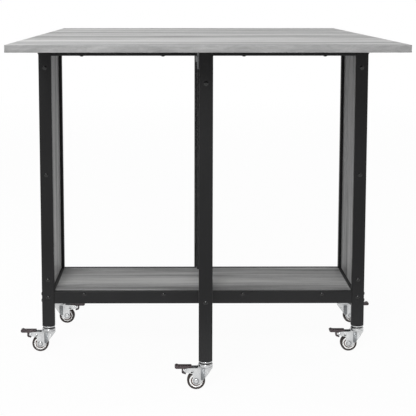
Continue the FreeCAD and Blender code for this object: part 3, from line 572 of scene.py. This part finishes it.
def race_cover(shape):
    lathe(shape, [
        (0, leg_foot, 0), (FLANGE_RADIUS, leg_foot, RIM_EASE),
        (FLANGE_RADIUS, neck_top, RIM_EASE), (NECK_RADIUS, neck_top, RIM_EASE),
        (NECK_RADIUS, neck_foot, RIM_EASE), (COVER_RADIUS, neck_foot, COVER_SHOULDER),
        (COVER_RADIUS, cover_foot, RIM_EASE), (0, cover_foot, 0),
    ], SWIVEL_FOOT)


# A black ring that paints the shade in the recess of the neck.
def neck_shade_ring(shape):
    lathe(shape, [
        (NECK_RADIUS + SLIP, neck_top - SLIP, 0), (SHADE_RING_RADIUS, neck_top - SLIP, SHADE_RING_ROUND),
        (SHADE_RING_RADIUS, neck_foot + SLIP, SHADE_RING_ROUND), (NECK_RADIUS + SLIP, neck_foot + SLIP, 0),
    ], SWIVEL_FOOT, closed=True)


print("race cover", 2 * COVER_RADIUS, "mm across,", COVER_HEIGHT, "mm high, seal", NECK_HEIGHT, "mm")

# %% [markdown]
# The fork is one pressing of two-millimetre steel. Its cheeks hang from a round crown, flare into it at
# the shoulder and wrap round the back, and its long upper corners run out as arms for the pedal. Bent
# plates would show seams at the bends, so the wrapped sheet is drawn as level sections stacked on each
# other. The wrap is tight below the web, where only the two cheeks go on down to the axle.

# %% Piece: the fork's wrapped sheet
FORK_HALF = 10.5
SWIVEL_GAP = 0.3
HEAD_HEIGHT = 4.4
SHOULDER_DROP = 7.3
SHOULDER_FLARE = 3.4
FLARE_SPAN = (9.0, 19.0)
BACK_EDGE = -COVER_RADIUS
BACK_DROP = 4.9
NECK_SETBACK = 12.0
NECK_DROP = 5.5
WEB_HEIGHT = 14.0
WRAP_HIGH = 11.0
WRAP_LOW = 2.4
WRAP_GROWTH = 6.0
SHEET_FRONT = 60.0
CHEEK_STEPS = 64
CHEEK_CROWDING = 0.6
WRAP_STEPS = 10
head_top = cover_foot - SWIVEL_GAP
crown_level = head_top - HEAD_HEIGHT
shoulder_foot = crown_level - SHOULDER_DROP
back_top = crown_level - BACK_DROP
web_foot = crown_level - WEB_HEIGHT
fork_neck = (trail_mm - NECK_SETBACK, axle_mm - NECK_DROP)


def eased_step(value, low, high):
    """0 below low, 1 above high, and a smooth rise between."""
    share = min(max((value - low) / (high - low), 0.0), 1.0)
    return share * share * (3 - 2 * share)


def back_line(level):
    """How far back the sheet reaches at a level."""
    slope = (fork_neck[0] - BACK_EDGE) / (back_top - fork_neck[1])
    return BACK_EDGE + max(0.0, back_top - level) * slope


def cheek_half(x, level):
    """Half the fork's width at a place along its cheek, flared where it meets the crown."""
    shoulder = eased_step(level, shoulder_foot, crown_level) ** 2
    return FORK_HALF + SHOULDER_FLARE * shoulder * (1 - eased_step(abs(x), *FLARE_SPAN))


def wrapped_section(level, inset, back):
    """One level section: a cheek, the wrapped back, and the other cheek."""
    wrap = WRAP_LOW + (WRAP_HIGH - WRAP_LOW) * eased_step(level, web_foot, web_foot + WRAP_GROWTH)
    bend = back + max(wrap - inset, RIM_EASE)
    side = []
    for step in range(CHEEK_STEPS + 1):
        x = SHEET_FRONT + (bend - SHEET_FRONT) * (step / CHEEK_STEPS) ** CHEEK_CROWDING
        side.append((x, cheek_half(x, level) - inset))
    half = side[-1][1]
    for step in range(1, WRAP_STEPS):
        angle = math.pi / 2 * step / WRAP_STEPS
        side.append((bend - (bend - back) * math.sin(angle), half * math.cos(angle)))
    return side + [(back, 0.0)] + [(x, -y) for x, y in reversed(side)]


def wrapped_solid(levels, inset, back_of):
    """A closed solid of stacked sections."""
    shape = bmesh.new()
    rings = []
    for level in levels:
        section = wrapped_section(level, inset, back_of(level) + inset)
        rings.append([shape.verts.new((x * MM, y * MM, level * MM)) for x, y in section])
    for ring, above in zip(rings, rings[1:]):
        for index in range(len(ring)):
            shape.faces.new((ring[index - 1], ring[index], above[index], above[index - 1]))
    shape.faces.new(rings[0])
    shape.faces.new(rings[-1])
    return shape


print("the sheet leans from", round(back_line(crown_level), 1), "to", round(fork_neck[0], 1), "mm")

# %% [markdown]
# A press tool trims the sheet and a punch opens it. A boolean modifier does both here. Two bmeshes become
# objects for a moment, the solver cuts one by the other, and the result comes back as a bmesh, so that no
# modifier is left on the piece.

# %% Cutting tool
CUT_SOLVER = "EXACT"


def boolean(shape, tool, operation):
    """Cut or trim one closed bmesh by another and return the result."""
    objects = []
    for name, source in (("work", shape), ("tool", tool)):
        bmesh.ops.recalc_face_normals(source, faces=source.faces)
        mesh = bpy.data.meshes.new(name)
        source.to_mesh(mesh)
        source.free()
        objects.append(bpy.data.objects.new(name, mesh))
        bpy.context.scene.collection.objects.link(objects[-1])
    cut = objects[0].modifiers.new("cut", "BOOLEAN")
    cut.object = objects[1]
    cut.operation = operation
    cut.solver = CUT_SOLVER
    bpy.context.view_layer.update()
    seen = objects[0].evaluated_get(bpy.context.evaluated_depsgraph_get())
    result = bmesh.new()
    result.from_mesh(seen.to_mesh())
    seen.to_mesh_clear()
    for made in objects:
        mesh = made.data
        bpy.data.objects.remove(made)
        bpy.data.meshes.remove(mesh)
    return result


print("pieces are cut with the", CUT_SOLVER.lower(), "solver")

# %% [markdown]
# The outline that trims the sheet runs from the crown down the sloping back, round the axle, up the front
# of the cheek and out along the pedal arm. It could be traced point by point. Here its corners follow the
# axle and the pin, so both stay well inside the steel if the castor changes.

# %% Piece: fork outline
TRIM_HALF = 30.0
TRIM_MARGIN = 1.0
NECK_ROUND = 8.0
TOE_SETOUT = 7.3
TOE_DROP = 10.0
TOE_ROUND = 7.0
ARM_ROOT_DROP = 7.6
ARM_FOOT_DROP = 5.4
ARM_FOOT_SETBACK = 4.0
ARM_RISE = 5.0
ARM_CROOK = 6.0
ARM_ROUND = 4.0
ARM_EASE = 2.0
LUG_RADIUS = 3.4
LUG_ROUND = 3.3
SHOULDER_CUT = 2.6
arm_end = pin_x + LUG_RADIUS


def fork_outline():
    toe = trail_mm + TOE_SETOUT
    return [
        (-TRIM_HALF, crown_level + TRIM_MARGIN, 0),
        (-TRIM_HALF, back_top, 0),
        (back_line(back_top) - TRIM_MARGIN, back_top, 0),
        (fork_neck[0] - TRIM_MARGIN, fork_neck[1], NECK_ROUND),
        (toe, axle_mm - TOE_DROP, TOE_ROUND),
        (toe, pin_z - ARM_ROOT_DROP, ARM_ROUND),
        (pin_x - ARM_FOOT_SETBACK, pin_z - ARM_FOOT_DROP, ARM_EASE),
        (arm_end, pin_z - LUG_RADIUS, LUG_ROUND),
        (arm_end, pin_z + LUG_RADIUS, LUG_ROUND),
        (pin_x - ARM_CROOK, pin_z + ARM_RISE, ARM_ROUND),
        (COVER_RADIUS + ARM_EASE, crown_level - SHOULDER_CUT, ARM_EASE),
        (COVER_RADIUS - ARM_EASE, crown_level + TRIM_MARGIN, 0),
    ]


print("the fork's arms reach out to", round(arm_end, 1), "mm")

# %% [markdown]
# The sheet is trimmed to that outline and hollowed by a smaller copy of itself, which leaves two
# millimetres of steel. A slot opens between the arms, and a hole beside the rivet of the brake's spring.
# The head on top is turned, like the race cover that it runs against.

# %% Piece: pressed fork
FORK_SHEET = 2.0
SHEET_FOOT = 6.0
LEVEL_STEP = 1.5
SHOULDER_STEP = 0.8
WEB_STEP = 0.1
HEAD_SINK = 1.0
HEAD_TAPER = 1.6
HEAD_ROUND = 1.0
SPRING_HOLE = Vector((29.6, 0, 41.2)) * MM
SPRING_HOLE_RADIUS = 3.2


def evenly_between(low, high, step):
    count = math.ceil((high - low) / step)
    return [low + (high - low) * index / count for index in range(count + 1)]


def open_back(level):
    """The hollow's back: inside the sheet above the web, and far behind it below."""
    return back_line(level) if level > web_foot else -TRIM_HALF


def fork():
    levels = evenly_between(SHEET_FOOT, shoulder_foot, LEVEL_STEP)[:-1]
    levels += evenly_between(shoulder_foot, crown_level, SHOULDER_STEP)
    outline = bmesh.new()
    plate(outline, fork_outline(), -TRIM_HALF, TRIM_HALF, 0)
    sheet = boolean(wrapped_solid(levels, 0.0, back_line), outline, "INTERSECT")
    levels = [0.0, web_foot] + evenly_between(web_foot + WEB_STEP, crown_level - FORK_SHEET, LEVEL_STEP)
    sheet = boolean(sheet, wrapped_solid(levels, FORK_SHEET, open_back), "DIFFERENCE")
    slot = bmesh.new()
    slot_half = FORK_HALF - FORK_SHEET
    slot_low = Vector((COVER_RADIUS, -slot_half, web_foot))
    slot_high = Vector((SHEET_FRONT + TRIM_MARGIN, slot_half, head_top))
    eased_box(slot, slot_low * MM, slot_high * MM, RIM_EASE * MM)
    sheet = boolean(sheet, slot, "DIFFERENCE")
    hole = bmesh.new()
    lathe(hole, [
        (0, -TRIM_HALF, 0), (SPRING_HOLE_RADIUS, -TRIM_HALF, 0),
        (SPRING_HOLE_RADIUS, TRIM_HALF, 0), (0, TRIM_HALF, 0),
    ], SPRING_HOLE, along_y=True)
    sheet = boolean(sheet, hole, "DIFFERENCE")
    lathe(sheet, [
        (0, crown_level - HEAD_SINK, 0),
        (COVER_RADIUS - HEAD_TAPER, crown_level - HEAD_SINK, RIM_EASE),
        (COVER_RADIUS, crown_level + HEAD_SINK, HEAD_ROUND),
        (COVER_RADIUS, head_top, RIM_EASE),
        (0, head_top, 0),
    ], SWIVEL_FOOT)
    return sheet


drawn = {"fork": fork()}
print("fork", round(2 * FORK_HALF, 1), "mm wide, with", len(drawn["fork"].faces), "faces")

# %% [markdown]
# A stiffening rib is pressed out of each cheek beside the wheel. It wears the duller, darker plate, so it
# shows as a darker strip on the sheet round it. A bump in the finish would not show in outline, so the rib
# stands proud as a low pad with eased rims.

# %% Piece: fork ribs
RIB_HEIGHT = 0.8
RIB_EASE = 0.5
RIB_BACK = 0.8
RIB_FRONT = 10.4
RIB_TOP_DROP = 3.5
RIB_FRONT_DROP = 3.0
RIB_BACK_RISE = 7.0
RIB_ROUND = 3.0


def fork_ribs(shape):
    corners = [
        (RIB_BACK, crown_level - RIB_TOP_DROP, RIB_ROUND),
        (RIB_FRONT, crown_level - RIB_TOP_DROP, RIB_ROUND),
        (RIB_FRONT, axle_mm - RIB_FRONT_DROP, RIB_ROUND),
        (RIB_BACK, axle_mm + RIB_BACK_RISE, RIB_ROUND),
    ]
    for side in (-1, 1):
        low, high = sorted((side * (FORK_HALF - RIB_EASE), side * (FORK_HALF + RIB_HEIGHT)))
        plate(shape, corners, low, high, RIB_EASE)


print("ribs", round(RIB_FRONT - RIB_BACK, 1), "mm wide")

# %% [markdown]
# The axle is a flanged hexagon bolt and nut, with a dull collar round it on each cheek. The pedal turns
# on a round-headed rivet, and a smaller one behind it holds the brake's spring. A lathe with six steps
# turns the hexagons, so they need no other tool.

# %% Piece: axle, collars and rivets
AXLE_RADIUS = 3.0
AXLE_FLANGE = 4.8
AXLE_FLANGE_HEIGHT = 0.9
AXLE_HEAD = 2.6
HEX_RADIUS = 3.9
HEX_CHAMFER = 0.5
HEX_SIDES = 6
COLLAR_RADIUS = 6.6
COLLAR_HEIGHT = 0.7
RIVET_CROWN = 1.2
RIVET_ROUND = 0.9
PEDAL_RIVET = (2.0, 3.2)
SPRING_RIVET = (1.5, 2.5)
SPRING_CENTRE = Vector((29.3, 0, 42.7)) * MM


def headed_pin(shape, centre, shank, head, crown, ease):
    """A pin across the fork with the same head at both ends."""
    outside = FORK_HALF + crown
    lathe(shape, [
        (0, -outside, 0), (head, -outside, ease), (head, -FORK_HALF, 0), (shank, -FORK_HALF, 0),
        (shank, FORK_HALF, 0), (head, FORK_HALF, 0), (head, outside, ease), (0, outside, 0),
    ], centre, along_y=True)


def axle(shape):
    headed_pin(shape, AXLE_CENTRE, AXLE_RADIUS, AXLE_FLANGE, AXLE_FLANGE_HEIGHT, RIM_EASE)
    for side in (-1, 1):
        start, end = side * FORK_HALF, side * (FORK_HALF + AXLE_HEAD)
        lathe(shape, [
            (0, start, 0), (HEX_RADIUS, start, 0), (HEX_RADIUS, end - side * HEX_CHAMFER, 0),
            (HEX_RADIUS - HEX_CHAMFER, end, 0), (0, end, 0),
        ], AXLE_CENTRE, along_y=True, steps=HEX_SIDES)


def axle_collars(shape):
    for side in (-1, 1):
        start, end = side * FORK_HALF, side * (FORK_HALF + COLLAR_HEIGHT)
        lathe(shape, [
            (AXLE_FLANGE + SLIP, start, 0), (COLLAR_RADIUS, start, 0),
            (COLLAR_RADIUS, end, RIM_EASE), (AXLE_FLANGE + SLIP, end, 0),
        ], AXLE_CENTRE, along_y=True, closed=True)


def rivets(shape):
    headed_pin(shape, PIN_CENTRE, *PEDAL_RIVET, RIVET_CROWN, RIVET_ROUND)
    headed_pin(shape, SPRING_CENTRE, *SPRING_RIVET, RIVET_CROWN, RIVET_ROUND)


print("axle", 2 * AXLE_RADIUS, "mm, rivets", 2 * PEDAL_RIVET[0], "and", 2 * SPRING_RIVET[0], "mm")

# %% [markdown]
# A wheel is three mouldings: the rubber tyre with round shoulders and a faint parting line, the white hub
# dished between its rim and its boss, and a brown dust ring pressed into the dish on each side. Painted
# rings would look flat from the side, so each moulding is turned from its own section.

# %% Piece: wheel
TYRE = 4.9
TYRE_SHOULDER = 2.2
PARTING_HALF = 0.3
PARTING_RISE = 0.15
RING_OUT = 11.6
RING_IN = 9.1
RING_DEPTH = 0.9
RING_SINK = 0.15
BOSS_RISE = 0.7
DISH = 0.2
DISH_RIM = 1.2
HUB_BORE = 3.05
rim_mm = wheel_mm - TYRE
tread_mm = wheel_mm - PARTING_RISE


def tyre(shape):
    lathe(shape, [
        (rim_mm, -wheel_half, RIM_EASE), (tread_mm, -wheel_half, TYRE_SHOULDER),
        (tread_mm, -PARTING_HALF, 0), (wheel_mm, -PARTING_HALF / 2, 0),
        (wheel_mm, PARTING_HALF / 2, 0), (tread_mm, PARTING_HALF, 0),
        (tread_mm, wheel_half, TYRE_SHOULDER), (rim_mm, wheel_half, RIM_EASE),
    ], AXLE_CENTRE, along_y=True, closed=True)


def hub(shape):
    section = []
    for side in (-1, 1):
        face = side * wheel_half
        floor = face - side * RING_DEPTH
        boss = face + side * BOSS_RISE
        half_section = [
            (HUB_BORE, boss, 0), (RING_IN, boss, RIM_EASE),
            (RING_IN, floor, 0), (RING_OUT + SLIP, floor, 0),
            (RING_OUT + SLIP, face - side * DISH / 2, 0),
            (rim_mm - DISH_RIM, face - side * DISH, RIM_EASE), (rim_mm - SLIP, face, RIM_EASE),
        ]
        section += half_section if side < 0 else half_section[::-1]
    lathe(shape, section, AXLE_CENTRE, along_y=True, closed=True)


def dust_rings(shape):
    for side in (-1, 1):
        floor = side * (wheel_half - RING_DEPTH + SLIP)
        crown = side * (wheel_half - RING_SINK)
        lathe(shape, [
            (RING_IN + SLIP, floor, 0), (RING_IN + SLIP, crown, RIM_EASE),
            (RING_OUT, crown, RIM_EASE), (RING_OUT, floor, 0),
        ], AXLE_CENTRE, along_y=True, closed=True)


print("wheel", round(2 * wheel_mm, 1), "by", round(2 * wheel_half, 1), "mm, tyre", TYRE, "mm thick")

# %% [markdown]
# The brake pedal is a brown moulding. Its toe pad has cross ribs for the shoe's grip and a raised lip at
# its outer end. One outline of the pad's side makes the lip and the round toe, and each rib is a small
# plate sunk into the deck, so the ribs stay crisp where a bump would blur.

# %% Piece: toe pad
PAD_HALF = 8.0
PAD_OVERLAP = 13.3
PAD_LENGTH = 37.3
PAD_RISE = 2.9
PAD_THICKNESS = 6.4
PAD_LIP = 1.2
PAD_LIP_LENGTH = 8.5
PAD_LIP_CREST = 4.5
PAD_LIP_SWEEP = 6.0
PAD_TOE_CUT = 4.0
PAD_ROUND = 1.2
PAD_EASE = 0.6
GRIP_RIBS = 6
GRIP_PITCH = 3.6
GRIP_START = 5.0
GRIP_HALF = 0.8
GRIP_HEIGHT = 0.5
GRIP_MARGIN = 1.6
HOOK_SETOUT = 8.6
HOOK_PLATE = 3.6
pad_foot = pin_z + PAD_RISE
pad_top = pad_foot + PAD_THICKNESS
pad_near = pin_x - PAD_OVERLAP
pad_far = pad_near + PAD_LENGTH
hook_out = pin_x + HOOK_SETOUT
hook_in = hook_out - HOOK_PLATE


def toe_pad(shape):
    deck = pad_top - GRIP_HEIGHT
    plate(shape, [
        (pad_near, pad_foot + PAD_EASE, PAD_ROUND),
        (pad_near, deck, PAD_ROUND),
        (pad_far - PAD_LIP_LENGTH, deck, PAD_LIP_SWEEP),
        (pad_far - PAD_LIP_CREST, pad_top + PAD_LIP, PAD_ROUND),
        (pad_far, pad_top - PAD_EASE, PAD_ROUND),
        (pad_far - PAD_EASE, pad_foot + PAD_ROUND, PAD_ROUND),
        (pad_far - PAD_TOE_CUT, pad_foot, PAD_ROUND),
        (hook_in, pad_foot, 0),
    ], -PAD_HALF, PAD_HALF, PAD_EASE)
    for rib in range(GRIP_RIBS):
        middle = pad_near + GRIP_START + rib * GRIP_PITCH
        plate(shape, [
            (middle - GRIP_HALF, deck - GRIP_HEIGHT, 0), (middle - GRIP_HALF, pad_top, GRIP_HEIGHT),
            (middle + GRIP_HALF, pad_top, GRIP_HEIGHT), (middle + GRIP_HALF, deck - GRIP_HEIGHT, 0),
        ], GRIP_MARGIN - PAD_HALF, PAD_HALF - GRIP_MARGIN, GRIP_HEIGHT / 2)


print("pad from", round(pad_near, 1), "to", round(pad_far, 1), "mm, with", GRIP_RIBS, "grip ribs")

# %% [markdown]
# Below the pad, in the same moulding, a lug turns on the rivet and a hook drops past the arms. They
# overlap the pad's plate, as walls run into each other in a mould. Two flat plated levers, a piece of
# their own because they are steel, run side by side from the pad to the crown. Their darker plate is
# painted shade, for the shadow they lie in.

# %% Piece: hook, lug and levers
HOOK_HALF = 6.0
HOOK_DROP = 10.3
HOOK_RETURN = 9.0
HOOK_SLOPE = 3.0
HOOK_ROUND = 2.5
HOOK_TIP = 1.0
LUG_WEB = 3.0
LEVER_OFFSET = 6.8
LEVER_HALF = 1.2
LEVER_HEIGHT = 3.0
LEVER_SINK = 0.5
LEVER_GAP = 0.7


def pedal_toe(shape):
    toe_pad(shape)
    foot = pin_z - HOOK_DROP
    tip = hook_out - HOOK_RETURN
    inside = pad_foot + PAD_ROUND
    plate(shape, [
        (hook_in, inside, 0),
        (hook_out, inside, 0),
        (hook_out, foot + HOOK_SLOPE, HOOK_ROUND),
        (tip, foot, HOOK_TIP),
        (tip - HOOK_TIP, foot + HOOK_PLATE - HOOK_TIP, HOOK_TIP),
        (hook_in, foot + HOOK_SLOPE + HOOK_TIP, HOOK_TIP),
    ], -HOOK_HALF, HOOK_HALF, PAD_EASE)
    plate(shape, [
        (pin_x - LUG_WEB, pin_z, 0), (pin_x - LUG_WEB, inside, 0),
        (pin_x + LUG_WEB, inside, 0), (pin_x + LUG_WEB, pin_z, 0),
    ], -HOOK_HALF, HOOK_HALF, RIM_EASE)
    bore = PEDAL_RIVET[0] + SLIP
    lathe(shape, [
        (bore, -HOOK_HALF, 0), (LUG_RADIUS, -HOOK_HALF, RIM_EASE),
        (LUG_RADIUS, HOOK_HALF, RIM_EASE), (bore, HOOK_HALF, 0),
    ], PIN_CENTRE, along_y=True, closed=True)


def pedal_levers(shape):
    foot = pad_foot - LEVER_SINK
    for side in (-1, 1):
        low = Vector((COVER_RADIUS + LEVER_GAP, side * LEVER_OFFSET - LEVER_HALF, foot))
        high = Vector((pad_near + PAD_ROUND, side * LEVER_OFFSET + LEVER_HALF, foot + LEVER_HEIGHT))
        eased_box(shape, low * MM, high * MM, RIM_EASE * MM)


print("hook", HOOK_DROP, "mm below the pin, levers", 2 * LEVER_HALF, "mm thick")

# %% [markdown]
# One of each piece is drawn, and a copy is set under every leg. What rolls rides on the wheel's body,
# what brakes rides on the pedal's, and the rest swivels, apart from the race cover and the black ring of
# painted shade round its neck, which stay with their leg. A copy takes the place of its plain twin, where
# the frame has one. Edges too short to see are dissolved first, so that no face without area is left.

# %% Set the castors under the legs
SMALLEST_EDGE = 0.001 * MM
# The black ring round the neck and the darker plate of the levers are painted shade.
PATTERNS = (
    ("cover", race_cover, "zinc_steel", ZINC),
    ("seal", neck_shade_ring, "black_bolts", BLACK_OXIDE),
    ("axle", axle, "zinc_steel", ZINC),
    ("axle_collars", axle_collars, "zinc_steel", DULL_ZINC_AND_SHADE),
    ("rivets", rivets, "zinc_steel", ZINC),
    ("ribs", fork_ribs, "zinc_steel", DULL_ZINC_AND_SHADE),
    ("hub", hub, "white_hub", NYLON),
    ("dust_rings", dust_rings, "brown_rubber", DUST_RING),
    ("tyre", tyre, "brown_rubber", RUBBER),
    ("pedal_toe", pedal_toe, "brown_plastic", PEDAL_PLASTIC),
    ("pedal_levers", pedal_levers, "zinc_steel", DULL_ZINC_AND_SHADE),
)
dress = {"fork": ("zinc_steel", ZINC)}
for piece, draw, slot, finish in PATTERNS:
    drawn[piece] = bmesh.new()
    draw(drawn[piece])
    dress[piece] = (slot, finish)
for shape in drawn.values():
    bmesh.ops.dissolve_degenerate(shape, dist=SMALLEST_EDGE, edges=shape.edges)
    bmesh.ops.recalc_face_normals(shape, faces=shape.faces)


def carrier_of(piece, castor):
    """The body that a castor's piece rides on."""
    if piece in ("cover", "seal"):
        return castor if castor.startswith("gate") else "trolley"
    if piece in ("hub", "dust_rings", "tyre"):
        return "wheel_" + castor
    if piece.startswith("pedal"):
        return "pedal_" + castor
    return "castor_" + castor


def plain_twin(piece, castor):
    """The plain node that a castor's piece takes the place of, if it has one."""
    if piece == "cover":
        return [castor + "_castor_stem"] if castor.startswith("gate") else ["castor_stems"]
    twins = {"fork": "fork", "hub": "hub", "tyre": "tyre", "pedal_toe": "pedal"}
    return [f"castor_{castor}_{twins[piece]}"] if piece in twins else []


for castor in CASTORS:
    place = castor_place(castor)
    for piece, (slot, finish) in dress.items():
        shape = drawn[piece].copy()
        shape.transform(place)
        name = f"castor_{castor}_{piece}_piece"
        finish_piece(name, shape, finish, carrier_of(piece, castor), plain_twin(piece, castor))
for shape in drawn.values():
    shape.free()
print("set", len(CASTORS), "castors of", len(dress), "pieces")

# %% [markdown]
# The studio is a pale floor that runs into a white surround. Eyes and mirrors see it as white paint with
# a glow that grows with distance, so no horizon shows; near the table a little of the paint is left
# without glow, which keeps the table's soft shadow. More light would whiten a plain floor too, but would
# bleach the table. Scattered light meets a greyer paint, so that less of it comes back from below.

# %% Floor
FLOOR_SPAN = 30.0
FLOOR_GLOW = {"From Min": 1.5, "From Max": 7.0, "To Min": 0.96, "To Max": 1.0}
FLOOR_PAINT = {"To Min": 0.5, "To Max": 1.0}
WHITE = linear("#FFFFFF")


def rays_seen(tree, *kinds):
    """1 for the named kinds of ray, 0 for all others."""
    path = add(tree, "LightPath")
    seen = path.outputs[kinds[0]]
    for kind in kinds[1:]:
        seen = add(tree, "Math", {"operation": "MAXIMUM"}, {0: seen, 1: path.outputs[kind]}).outputs[0]
    return seen


def white_floor():
    material, tree, shader = start_finish("studio floor paint", "#FFFFFF", 0.9)
    seen = rays_seen(tree, "Is Camera Ray", "Is Glossy Ray", "Is Transmission Ray")
    paint = add(tree, "MapRange", FLOOR_PAINT, {"Value": seen}).outputs[0]
    feed(tree, shader, {"Base Color": paint})
    place = add(tree, "TexCoord").outputs["Object"]
    distance = add(tree, "VectorMath", {"operation": "LENGTH"}, {0: place}).outputs["Value"]
    share = add(tree, "MapRange", FLOOR_GLOW, {"Value": distance}).outputs[0]
    share = add(tree, "Math", {"operation": "MULTIPLY"}, {0: seen, 1: share}).outputs[0]
    glow = add(tree, "Emission", {"Color": WHITE, "Strength": 1.0}).outputs["Emission"]
    mix = add(tree, "MixShader", None, {0: share, 1: shader.outputs["BSDF"], 2: glow}).outputs[0]
    feed(tree, tree.nodes["Material Output"], {"Surface": mix})
    return material


shape = bmesh.new()
bmesh.ops.create_grid(shape, x_segments=1, y_segments=1, size=FLOOR_SPAN / 2)
floor_mesh = bpy.data.meshes.new("floor")
shape.to_mesh(floor_mesh)
shape.free()
floor_mesh.materials.append(white_floor())
floor = bpy.data.objects.new("floor", floor_mesh)
bpy.context.scene.collection.objects.link(floor)
print("floor", FLOOR_SPAN, "m across")

# %% [markdown]
# The surround is dim, so that the lamps shape the table. Mirrors see white at floor level and overhead,
# and grey walls in between, because plated steel in an all-white room has nothing to show its curves by.
# The camera sees plain white.

# %% Surround light
SURROUND = 0.14
WALL_GREY = (0.35, 0.35, 0.35, 1.0)
WALLS = ((0.12, WHITE), (0.28, WALL_GREY), (0.5, WALL_GREY), (0.75, WHITE))


def surround_light():
    world = bpy.data.worlds.new("studio surround")
    bpy.context.scene.world = world
    world.use_nodes = True
    tree = world.node_tree
    backdrop = tree.nodes["Background"]
    backdrop.inputs["Color"].default_value = WHITE
    way = add(tree, "TexCoord").outputs["Generated"]
    height = add(tree, "SeparateXYZ", None, {"Vector": way}).outputs["Z"]
    walls = add(tree, "ValToRGB", None, {"Fac": height}, WALLS).outputs["Color"]
    mirrored = rays_seen(tree, "Is Glossy Ray", "Is Transmission Ray")
    strength = add(tree, "MapRange", {"To Min": SURROUND}, {"Value": mirrored, "To Max": walls}).outputs[0]
    seen = rays_seen(tree, "Is Camera Ray")
    strength = add(tree, "MapRange", {"To Max": 1.0}, {"Value": seen, "To Min": strength}).outputs[0]
    feed(tree, backdrop, {"Strength": strength})


surround_light()
print("lit by a surround of", SURROUND)

# %% [markdown]
# Soft light comes from a wide panel overhead and one high in front. A panel on each side, a little behind
# the table, lights its ends and its back. The wheels would stay too grey in this light alone, so a low
# strip in front, with a grid that keeps its beam narrow, lights them and leaves the legs black. A mid grey
# then renders about as it is written.

# %% Light panels
# Each panel has its place and aim in metres, its width and height, its watts and its spread in degrees.
PANELS = {
    "overhead panel": ((-0.5, 0.0, 3.2), (0, 0, 0.4), 3.0, 2.6, 32, 180),
    "side panel -1": ((-2.9, 1.3, 1.7), (0, 0, 0.4), 1.6, 1.6, 22, 180),
    "side panel 1": ((2.9, 1.3, 1.7), (0, 0, 0.4), 1.6, 1.6, 22, 180),
    "front panel": ((-0.5, -2.9, 2.3), (0, 0, 0.35), 1.3, 1.8, 62, 180),
    "low strip": ((0.0, -2.9, 0.12), (0, 0, -0.03), 1.6, 0.1, 0.35, 10),
}
for name, (place, aim, width, height, power, spread) in PANELS.items():
    lamp = bpy.data.lights.new(name, "AREA")
    lamp.shape = "RECTANGLE"
    lamp.size = width
    lamp.size_y = height
    lamp.energy = power
    lamp.spread = math.radians(spread)
    holder = bpy.data.objects.new(name, lamp)
    holder.location = place
    holder.rotation_euler = (Vector(aim) - Vector(place)).to_track_quat("-Z", "Y").to_euler()
    bpy.context.scene.collection.objects.link(holder)
print("lit by", len(PANELS), "panels")

# %% [markdown]
# The camera stands in front of the table, a hand's width higher than its top and a little left of the
# middle, with a long lens. A level camera with a large lens shift would keep the legs upright, but would
# push the table out of the frame in other views. So it looks down a few degrees, and a small shift takes
# up part of that tilt.

# %% Camera
CAMERA_PLACE = (-54.6 * MM, -2914 * MM, 859.5 * MM)
CAMERA_DIP = 7.17
CAMERA_TURN = -0.33
LENS = 101.9
LENS_SHIFT = (0.05, -0.155)
SENSOR_WIDTH = 36.0
VIEW_RANGE = 100.0

camera_data = bpy.data.cameras.new("camera")
camera_data.lens = LENS
camera_data.sensor_width = SENSOR_WIDTH
camera_data.shift_x, camera_data.shift_y = LENS_SHIFT
camera_data.clip_end = VIEW_RANGE
camera = bpy.data.objects.new("camera", camera_data)
camera.location = CAMERA_PLACE
camera.rotation_euler = (math.radians(90 - CAMERA_DIP), 0.0, math.radians(CAMERA_TURN))
bpy.context.scene.collection.objects.link(camera)
bpy.context.scene.camera = camera
bpy.context.scene.view_settings.view_transform = "Standard"
print("camera", round(-CAMERA_PLACE[1], 2), "m in front of the table's middle")
